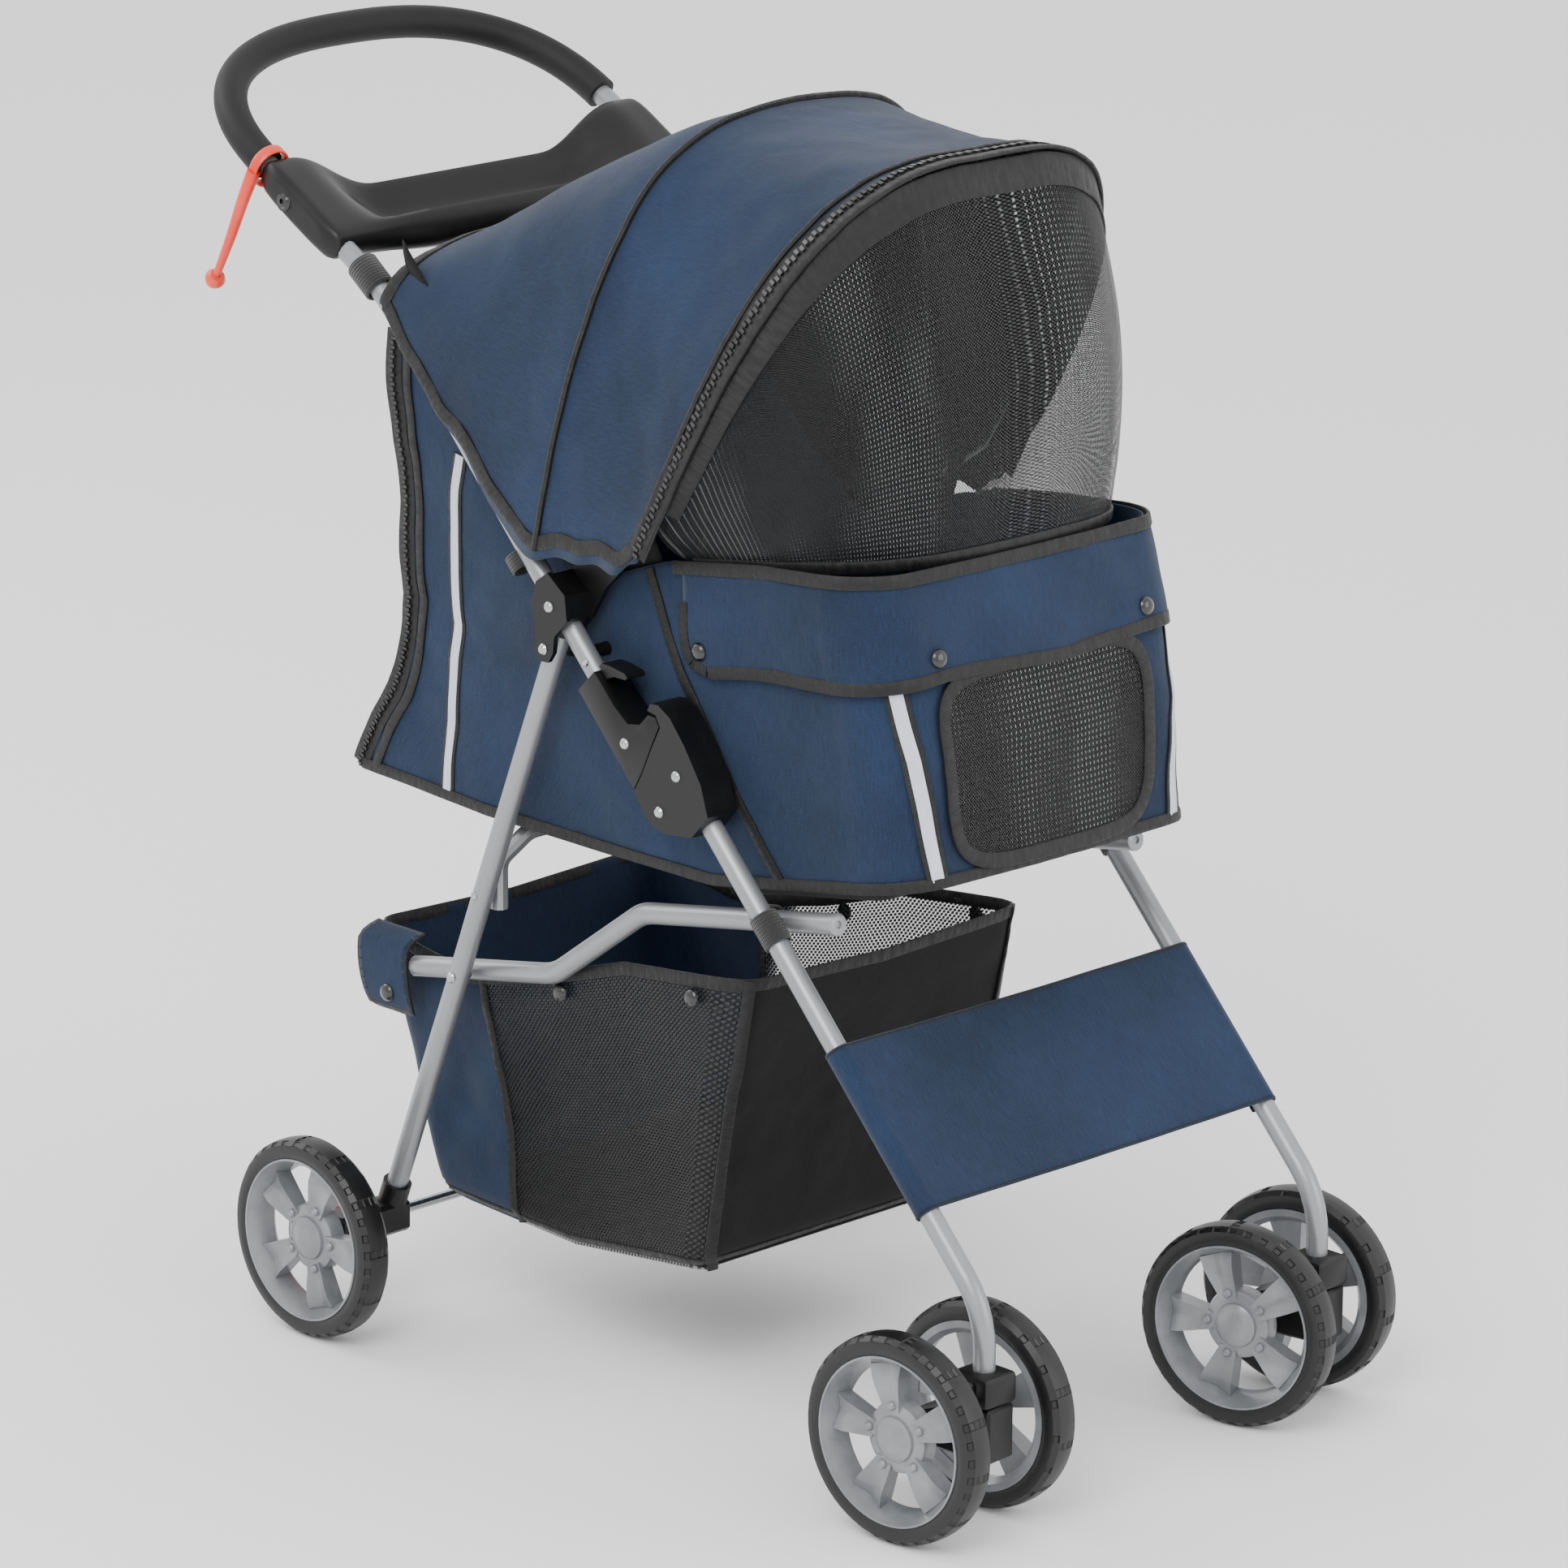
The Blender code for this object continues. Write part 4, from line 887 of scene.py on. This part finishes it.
window_parts = []
net = draped(window_parts, "front_window")("window_net", window_net, 120, 40, NET, "mesh_fabric", 0.3)
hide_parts("front_window")
window_tape = taped(window_parts, window_net, "front_window")
low_edge = [(u, 0.01) for u in (0.004, 0.25, 0.5, 0.75, 0.996)]
window_tape("window_low_binding", low_edge, 140, 9, 2.6, 0.6, 0.6)
arch = [(mix(0.01, 0.99, k / 12), 0.955) for k in range(13)]
window_tape("window_arch_tape", arch, 180, 24, 1.8, 0.8, 0.3)

# ======== basket
BASKET_X = 140
BASKET_TOP = [(-34, 328), (90, 314), (170, 288), (255, 268), (362, 284)]
BASKET_LOW = [(8, 100), (150, 84), (294, 90)]
# half way round, from the rear's middle to the front's: (share, x share, depth share)
BASKET_PLAN = [(0.0, 0.0, 1.0), (0.17, 0.87, 1.0), (0.184, 0.945, 0.99), (0.197, 0.985, 0.965),
               (0.22, 1.0, 0.90), (0.78, 1.0, 0.08), (0.793, 0.985, 0.03), (0.806, 0.945, 0.008),
               (0.83, 0.87, 0.0), (1.0, 0.0, 0.0)]
REAR_STRIP, FRONT_CORNER = 0.36, 0.806


def basket_wall(u, v, proud=0.0):
    """One continuous wall round the basket: u from the rear middle by the right side, v up."""
    u = u % 1.0
    sign, share = (-1, 2 * u) if u < 0.5 else (1, 2 - 2 * u)
    across = between([(p[0], p[1]) for p in BASKET_PLAN], share)
    depth = between([(p[0], p[2]) for p in BASKET_PLAN], share)
    low_y, top_y = mix(8, 294, depth), mix(-34, 362, depth)
    low = Vector((low_y, between(BASKET_LOW, low_y)))
    top = Vector((top_y, between(BASKET_TOP, top_y)))
    y, z = mix(low, top, v)
    slack = sin(pi * min(1.0, v * 1.15))
    side = ease((across - 0.85) / 0.15)
    pinch = 9 * slack * hump(depth) * side
    wrinkle = (3.2 * crumple((y, z * 0.8, sign * across * 140), 55, 41)
               + 1.2 * crumple((y, z, across * 140), 21, 43)) * slack
    tuck = 9 * (1 - ease(v / 0.07))
    ends = (1 - side) * slack
    y += 4.0 * ends + (1 - side) * (wrinkle - tuck) if depth > 0.5 else \
        7.0 * ends + (1 - side) * (wrinkle + tuck)
    z -= 5 * (1 - side) * (1 - across) * v - 1.5 * wrinkle * v * v
    return at(sign * (BASKET_X * across - pinch + (wrinkle + proud - tuck) * side), y, z)


basket_parts = []
basket_sheet = draped(basket_parts)
basket_tape = taped(basket_parts, basket_wall, waver=0.7)


def basket_panel(name, start, end, finish, slot, inside=None, steps=50):
    def panel(u, v):
        return basket_wall(mix(start, end, u), v)

    return basket_sheet(name, panel, steps, 34, finish, slot, 1.0, inside)


strip, corner = REAR_STRIP / 2, FRONT_CORNER / 2
front = basket_panel("basket_front", corner, 1 - corner, LINING, "mesh_fabric", steps=60)
basket_panel("basket_net_right", strip, corner, BASKET_NET, "mesh_fabric")
basket_panel("basket_net_left", 1 - corner, 1 - strip, BASKET_NET, "mesh_fabric")
basket_panel("basket_rear", -strip, strip, BLUE, "blue_fabric", BLUE_INSIDE, 90)
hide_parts("basket")
for side, sign in SIDES:
    turn = (lambda u: u) if sign < 0 else (lambda u: 1 - u)
    basket_tape("basket_top_tape_" + side, [(turn(k / 16), 0.985) for k in range(9)], 90, 10, 2.4)
    basket_tape("basket_low_tape_" + side, [(turn(k / 16), 0.03) for k in range(9)], 90, 7, 2.4)
    basket_tape("basket_net_edge_" + side, [(turn(strip), k / 6) for k in range(7)], 90, 8, 2.4)
    basket_tape("basket_front_edge_" + side, [(turn(corner), k / 6) for k in range(7)], 90, 9, 2.4)


def basket_floor(u, v):
    y = mix(14, 288, v)
    sag = 4 * hump(u) * hump(v)
    return at(mix(-1, 1, u) * (BASKET_X - 8), y, between(BASKET_LOW, y) - sag + 3)


basket_sheet("basket_floor", basket_floor, 30, 30, LINING, "mesh_fabric", 1.4)

# ======== front sheet
FRONT_MIDDLE = on_tube(0, 25)
SHEET_TOP = (315 - FRONT_MIDDLE[1]) / UP_TUBE[1]
SHEET_HEIGHT, WRAP = 132, 0.11


def front_panel(u, v):
    """Cloth sleeve to sleeve: round each tube and flat between them."""
    along = SHEET_TOP - SHEET_HEIGHT * (1 - v)
    y, z = FRONT_MIDDLE[0] + UP_TUBE[0] * along, FRONT_MIDDLE[1] + UP_TUBE[1] * along
    if WRAP <= u <= 1 - WRAP:
        t = (u - WRAP) / (1 - 2 * WRAP)
        x = mix(-TUBE_X, TUBE_X, t)
        lift = 9.2 - 3.0 * hump(t) + 0.8 * crumple((x, along, 0), 50, 51)
    else:
        sign = -1 if u < WRAP else 1
        t = (u if u < WRAP else 1 - u) / WRAP
        turn = pi * 1.25 * (1 - t)
        x = sign * (TUBE_X + 9.4 * sin(turn))
        lift = 9.4 * cos(turn)
    return at(x, y - UP_TUBE[1] * lift, z + UP_TUBE[0] * lift)


panel = cloth_piece("front_sheet_cloth", front_panel, 120, 24, BLUE, "front_frame", "blue_fabric", 0.9)
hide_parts("front_sheet")
sheet_tape = taped([], front_panel, "front_frame")
for name, v in (("top", 0.012), ("low", 0.988)):
    hem = [(mix(0.01, 0.99, k / 10), 1 - v) for k in range(11)]
    sheet_tape("front_sheet_hem_" + name, hem, 120, 1.2, 0.8, 0.5, finish=STITCH)

# ======== wheels
def spun_ring(profile, steps):
    """Closed ring from (height, radius) points."""
    return turned([(r, h) for h, r in profile + profile[:1]], steps)


TYRE_HALF = [(11.5, 60.5), (12.6, 63), (13, 67), (11.8, 71), (8, 74.2), (3, 75)]
TYRE_PROFILE = TYRE_HALF + [(-h, r) for h, r in reversed(TYRE_HALF)]
BARREL_PROFILE = [(11, 61.2), (12.6, 60.8), (12.6, 59.4), (10.5, 58.4), (2, 53.4), (-8, 52),
                  (-12.4, 56), (-12.6, 61.2)]
HUB_PROFILE = [(0, 9.6), (7, 9.2), (12.5, 8.0), (15.8, 5.8), (16.6, 3.6), (17.2, 3.4), (20, 3.6),
               (24.5, 2.0), (26, -2), (26, -9), (14, -11), (0, -11)]
LUG_PROFILE = [(0, 6.4), (2.0, 6.0), (3.1, 4.6), (3.4, 1.0), (0, 1.0)]


def tyre_mesh():
    """Tyre with pressed-in tread blocks on its shoulders and middle."""
    bm = spun_ring(TYRE_PROFILE, 72)
    shoulder, middle = [], []
    for face in bm.faces:
        spot = face.calc_center_median()
        radius = hypot(spot.x, spot.y) / MM
        k = int(degrees(atan2(spot.y, spot.x)) % 360 / 5)
        if 71 < radius < 74.4 and k % 4 != 3 and (k % 2 == (0 if spot.z > 0 else 1)):
            shoulder.append(face)
        elif radius > 74.3 and k % 6 == 2:
            middle.append(face)
    bmesh.ops.inset_individual(bm, faces=shoulder, thickness=0.0014, depth=-0.0010)
    bmesh.ops.inset_individual(bm, faces=middle, thickness=0.0012, depth=-0.0008)
    return bm


def spoke(turn):
    """One wide wedge spoke with a valley down its middle."""
    bm = bmesh.new()
    bmesh.ops.create_grid(bm, x_segments=4, y_segments=6, size=0.5)
    for vert in bm.verts:
        run, side = vert.co.x + 0.5, vert.co.y * 2
        reach = mix(19, 52.8, run)
        crest = mix(3.4, 6.0, ease(run * 1.4)) - 2.0 * ease((run - 0.75) / 0.25)
        dip = (1 - abs(side)) ** 0.8 * mix(1.5, 5.0, run)
        vert.co = Vector((reach, side * mix(6.5, 13.5, run), crest - dip + 1.0)) * MM
    made = bmesh.ops.extrude_face_region(bm, geom=list(bm.faces))["geom"]
    for vert in made:
        if isinstance(vert, bmesh.types.BMVert):
            vert.co.z = -7 * MM
    bmesh.ops.recalc_face_normals(bm, faces=bm.faces)
    bm.transform(Matrix.Rotation(turn, 4, "Z"))
    return bm


SPOKES, LUG_CIRCLE = 5, 23.4


def rim_parts():
    """Barrel, hub, wedge spokes and a lug at the foot of each spoke."""
    parts = [spun_ring(BARREL_PROFILE, 64), turned(HUB_PROFILE, 40)]
    for k in range(SPOKES):
        turn = 2 * pi * k / SPOKES
        parts.append(spoke(turn))
        lug = turned(LUG_PROFILE, 16)
        lug.transform(Matrix.Translation(Vector((cos(turn), sin(turn), 0)) * LUG_CIRCLE * MM))
        parts.append(lug)
    return parts


def wheel(name, joint, outward, spin):
    """Tyre and rim on one spin joint; outward is +1 when the hub cap faces along the axis."""
    body = JOINTS[joint]["child"]
    direction = Vector(JOINTS[joint]["axis"]) * outward
    where = facing(Vector(JOINTS[joint]["pos_m"]), direction)
    where = where @ Matrix.Rotation(radians(spin), 4, "Z")
    tyre = finished("tyre_skin_" + name, gather([tyre_mesh()], where), TYRE, body, angle=28)
    rim = finished("rim_skin_" + name, gather(rim_parts(), where), RIM, body, angle=32)
    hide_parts("tyre_" + name)
    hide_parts("rim_" + name)


for side, sign in SIDES:
    wheel(f"front_{side}_outer", f"wheel_front_{side}_outer_spin", sign, 14 if sign < 0 else 40)
    wheel(f"front_{side}_inner", f"wheel_front_{side}_inner_spin", -sign, 33)
    wheel(f"rear_{side}", f"wheel_rear_{side}_spin", sign, 52)

# ======== handle and tray
REACH = (cos(radians(30)), sin(radians(30)))


def handle_point(s):
    return (312 + REACH[0] * s, 773.5 + REACH[1] * s)


def bow_point(turn):
    side = -copysign(abs(cos(turn)) ** 0.80, cos(turn))
    y, z = handle_point(147 + 124 * abs(sin(turn)) ** 0.86)
    return at(side * TUBE_X, y, z)


FOAM_RADIUS = 12.4
bow = [at(-TUBE_X, *handle_point(s)) for s in (143.5, 144.5)]
bow += [bow_point(pi * k / 60) for k in range(61)]
bow += [at(TUBE_X, *handle_point(s)) for s in (144.5, 143.5)]
smooth_bow = bow[:2] + [(a + b * 2 + c) / 4 for a, b, c in zip(bow[1:], bow[2:], bow[3:])][:-2]
foam_mesh = swept_mesh(smooth_bow, level_normals(smooth_bow), round_section(FOAM_RADIUS, 28))
foam = finished("foam_grip", foam_mesh, FOAM, "handle_frame")
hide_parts("handle_foam")

# the tray's section from its lower front edge, over both rims, to its lower rear edge: (y, z) at the
# middle, and (along, square to the tube) where it wraps the handle tube
TRAY_MIDDLE = [(352, 785), (341, 788), (339, 800), (343, 813), (347, 817), (352, 814), (356, 800),
               (364, 795), (402, 795), (410, 803), (415, 818), (420, 824), (425, 819), (422, 801),
               (412, 786)]
TRAY_END = [(52, -12), (44, -9), (42, 2), (46, 11), (52, 13), (58, 13.5), (66, 14), (78, 14),
            (104, 14), (118, 14), (130, 13.5), (137, 11), (140, 3), (138, -9), (126, -12)]


def tray_bin():
    """Open bin whose rims swoop up into a plate round each handle tube."""
    bm = bmesh.new()
    count = len(TRAY_MIDDLE)
    rows = 52
    bmesh.ops.create_grid(bm, x_segments=count, y_segments=rows, size=0.5)
    for vert in bm.verts:
        k = round((vert.co.x + 0.5) * count) % count
        share = vert.co.y * 2
        x = 184.5 * copysign(abs(sin(share * pi / 2)), share)
        swoop = ease((abs(x) - 84) / 74)
        shrink = 1 - 0.35 * max(0.0, (abs(x) - 178) / 6.5) ** 2
        s, n = TRAY_END[k]
        s, n = mix(91, s, shrink), mix(1, n, shrink)
        y, z = handle_point(s)
        end = Vector((y - REACH[1] * n, z + REACH[0] * n))
        vert.co = at(x, *mix(Vector(TRAY_MIDDLE[k]), end, swoop))
    bmesh.ops.remove_doubles(bm, verts=bm.verts, dist=1e-6)
    bmesh.ops.holes_fill(bm, edges=[edge for edge in bm.edges if edge.is_boundary], sides=0)
    bmesh.ops.recalc_face_normals(bm, faces=bm.faces)
    return bm


tray = finished("tray_bin", tray_bin(), PLASTIC, "handle_frame", angle=70)
rounder = tray.modifiers.new("smooth", "SUBSURF")
rounder.levels = rounder.render_levels = 1
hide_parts("tray")
SCREW_HEAD = [(0, 0.4), (1.8, 0.5), (2.0, 2.2), (4.6, 1.9), (5.6, 0.6), (7.5, 0.5), (7.8, -0.8),
              (0, -0.8)]
paired_studs("tray_screws", TUBE_X + 14.3, *handle_point(104), (1, 0, 0.1), SCREW_HEAD, BUTTON,
             "handle_frame", "black_plastic")

# red loop tie: a flat ring round the tube and a tapering tail with a knob
TIE_RADIUS, TAIL_RADIUS = 14.6, 4.6
ring_centre = at(-TUBE_X, *handle_point(141.5))
along_handle = Vector((0, REACH[0], REACH[1]))
lift_handle = Vector((0, -REACH[1], REACH[0]))
ring, ring_normals = [], []
for k in range(41):
    turn = 2 * pi * k / 40
    out = Vector((cos(turn), 0, 0)) + lift_handle * sin(turn)
    ring.append(ring_centre + out * TIE_RADIUS * MM + along_handle * 1.5 * MM * sin(turn))
    ring_normals.append(out)
tie = finished("tie_ring", swept_mesh(ring, ring_normals, flat_section(8.5, 2.4), True), RED,
               "handle_frame")
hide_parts("hang_tie")
TAIL = [(-183, 436, 842), (-185, 446, 820), (-184, 461, 791), (-180, 480, 763), (-178, 487, 754)]
tail_points = [at(*flowing(TAIL, k / 24)) for k in range(25)]
bm = swept_mesh(tail_points, level_normals(tail_points, (1, 0, 0)), round_section(TAIL_RADIUS, 12))
drop = tail_points[0].z - tail_points[-1].z
for vert in bm.verts:
    share = min(1.0, max(0.0, (tail_points[0].z - vert.co.z) / drop))
    near = min(tail_points, key=lambda p: (p - vert.co).length)
    vert.co = near + (vert.co - near) * mix(1.15, 0.62, share)
KNOB = [(0, 3.0), (2.6, 3.4), (3.4, 6.0), (5.4, 5.4), (7.4, 1.8), (7.6, -1.6), (5.6, -5.0), (0, -5.6)]
knob = turned(KNOB, 20)
knob.transform(facing(tail_points[-1], (0.1, 0.7, -0.6)))
finished("tie_tail", gather([bm, knob], Matrix.Identity(4)), RED, "handle_frame")


# ======== straps, rivets and snaps
def tube_strap(name, centre, direction, radius, width, body, thickness=1.7):
    """Webbing loop round a tube."""
    direction = Vector(direction).normalized()
    across = direction.orthogonal().normalized()
    other = direction.cross(across)
    ring, normals = [], []
    for k in range(37):
        turn = 2 * pi * k / 36
        out = across * cos(turn) + other * sin(turn)
        ring.append(centre + out * radius * MM)
        normals.append(out)
    band = swept_mesh(ring, normals, flat_section(width, thickness), True)
    return finished(name, band, WEB, body)


up_axis = (0, UP_TUBE[0], UP_TUBE[1])
RAIL_X = TUBE_X - 20
for side, sign in SIDES:
    for name, x, y, z, direction, *size in (
            ("canopy_rear_strap_", TUBE_X, 324, 780.5, (0, 0.8, 0.6), 10.4, 26, "handle_frame", 2.6),
            ("canopy_side_strap_", TUBE_X, 165, 601, up_axis, 9.4, 13, "handle_frame"),
            ("rail_strap_", TUBE_X, -89, 386, up_axis, 9.6, 24, "front_frame"),
            ("rail_wrap_", RAIL_X, -66, 385, (0, -1, 0.18), 9.4, 16, "rail_frame")):
        tube_strap(name + side, at(sign * x, y, z), direction, *size)

PLATE_X, TUBE_SKIN = TUBE_X + 14.2, TUBE_X + 8
SMALL_HEAD = [(0, 1.4), (2.0, 1.1), (2.8, 0.2), (2.8, -0.5), (0, -0.5)]
LEG_HEAD = [(0, 1.6), (2.0, 1.3), (3.0, 0.4), (3.0, -0.5), (0, -0.5)]
CAP = [(0, -1.2), (2.4, -1.0), (2.8, 1.2), (6.6, 1.4), (8.1, 0.4), (8.2, -2.0), (0, -2.0)]
for name, x, y, z, direction, profile, body in (
        ("bracket_rivets", PLATE_X, 122, 578.5, (1, 0, 0), RIVET_HEAD, "handle_frame"),
        ("lock_rivets", PLATE_X, 44, 495, (1, 0, 0), RIVET_HEAD, "handle_frame"),
        ("lock_lower_rivets", PLATE_X, -8, 482, (1, 0, 0), RIVET_HEAD, "front_frame"),
        ("tube_rivets", TUBE_SKIN, 91, 543, (1, -0.2, 0), SMALL_HEAD, "handle_frame"),
        ("leg_rivets", TUBE_SKIN, 208, 346, (1, 0, 0), LEG_HEAD, "rear_frame")):
    paired_studs(name, x, y, z, direction, profile, STEEL, body, "steel")
paired_studs("rail_caps", RAIL_X, -134.3, 396.2, (0, -1, 0.18), CAP, SILVER, "rail_frame", "frame_tube")
snap_places = [(basket_wall(u, 0.93, 4.2), (-1 if u < 0.5 else 1, 0, 0.1))
               for u in (0.255, 0.375, 0.625, 0.745)]
basket_parts.append(snaps("basket_snaps", snap_places))


def rail_flap(sign, u, v):
    """Tab of the basket that folds over the end of the rail."""
    y = mix(302, 352, u if sign < 0 else 1 - u) + 3 * sin(v * 5)
    reach = 12 * min(1, v * 4)
    x = BASKET_X + 2 + reach + 6 * sin(min(v * 3.1, 3.1))
    return at(sign * x, y, 288 - 58 * v + 6 * sin(v * 6))


FLAP_HEM = [(0.03, 1.0), (0.03, 0.35), (0.12, 0.04), (0.5, 0.02), (0.88, 0.04), (0.97, 0.35),
            (0.97, 1.0)]
for side, sign in SIDES:
    def tab(u, v, sign=sign):
        return rail_flap(sign, u, 1 - v)

    basket_sheet("rail_flap_" + side, tab, 14, 20, BLUE, "blue_fabric", 1.2)
    basket_tape("rail_flap_hem_" + side, FLAP_HEM, 50, 7, 2.2, 0.5, 0.0, over=tab)
    snap_place = (tab(0.45, 0.3) + Vector((sign * 1.4 * MM, 0, 0)), (sign, 0, 0))
    basket_parts.append(snaps("rail_flap_snap_" + side, [snap_place]))

# ======== studio
SKY_STRENGTH = 1.45
world = bpy.context.scene.world or bpy.data.worlds.new("studio")
bpy.context.scene.world = world
world.use_nodes = True
sky = world.node_tree.nodes["Background"]
sky.inputs["Color"].default_value = (1.0, 1.0, 1.0, 1)
sky.inputs["Strength"].default_value = SKY_STRENGTH


def softbox(name, place, target, size, power):
    data = bpy.data.lights.new(name, "AREA")
    data.shape = "RECTANGLE"
    data.size, data.size_y = size
    data.energy = power
    lamp = shown(name, data)
    aim = Vector(target) - Vector(place)
    lamp.matrix_world = Matrix.Translation(place) @ aim.to_track_quat("-Z", "Y").to_matrix().to_4x4()


softbox("key_light", (-2.6, -1.4, 2.9), (0, 0, 0.5), (2.0, 2.0), 85)
softbox("fill_light", (1.2, -3.4, 1.6), (0, 0, 0.5), (2.4, 2.0), 35)
softbox("back_light", (-1.0, 3.0, 2.6), (0, 0, 0.6), (2.4, 1.6), 40)

bm = bmesh.new()
bmesh.ops.create_grid(bm, x_segments=1, y_segments=1, size=20.0)
ground_mesh = bpy.data.meshes.new("studio_floor")
bm.to_mesh(ground_mesh)
bm.free()
ground = shown("studio_floor", ground_mesh)
ground_finish = Finish("studio_floor", 0.9)
ground_finish.paint((0.93, 0.93, 0.93, 1))
ground_mesh.materials.append(ground_finish.material)
ground.location.z = -0.0005

# ======== soft pieces: own mesh data, baked canopy and measured cut sizes
for obj in cabin_parts + window_parts:
    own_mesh(obj)
for obj in basket_parts:
    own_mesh(obj)
for obj in canopy_parts:
    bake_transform(obj)


def declare(obj, surface):
    """Measure the size a piece was cut to, across and along, from its surface; nothing is stored."""
    lines_u = [[surface(k / 40, v) for k in range(41)] for v in (0.02, 0.25, 0.5, 0.75, 0.98)]
    lines_v = [[surface(u, k / 40) for k in range(41)] for u in (0.02, 0.25, 0.5, 0.75, 0.98)]
    width, length = (max(path_length(line) for line in lines) for lines in (lines_u, lines_v))
    area = sum(face.area for face in obj.data.polygons)
    length = max(length, area / width)


declare(canopy, canopy_skin)
declare(panel, front_panel)
declare(net, window_net)

bpy.context.view_layer.update()
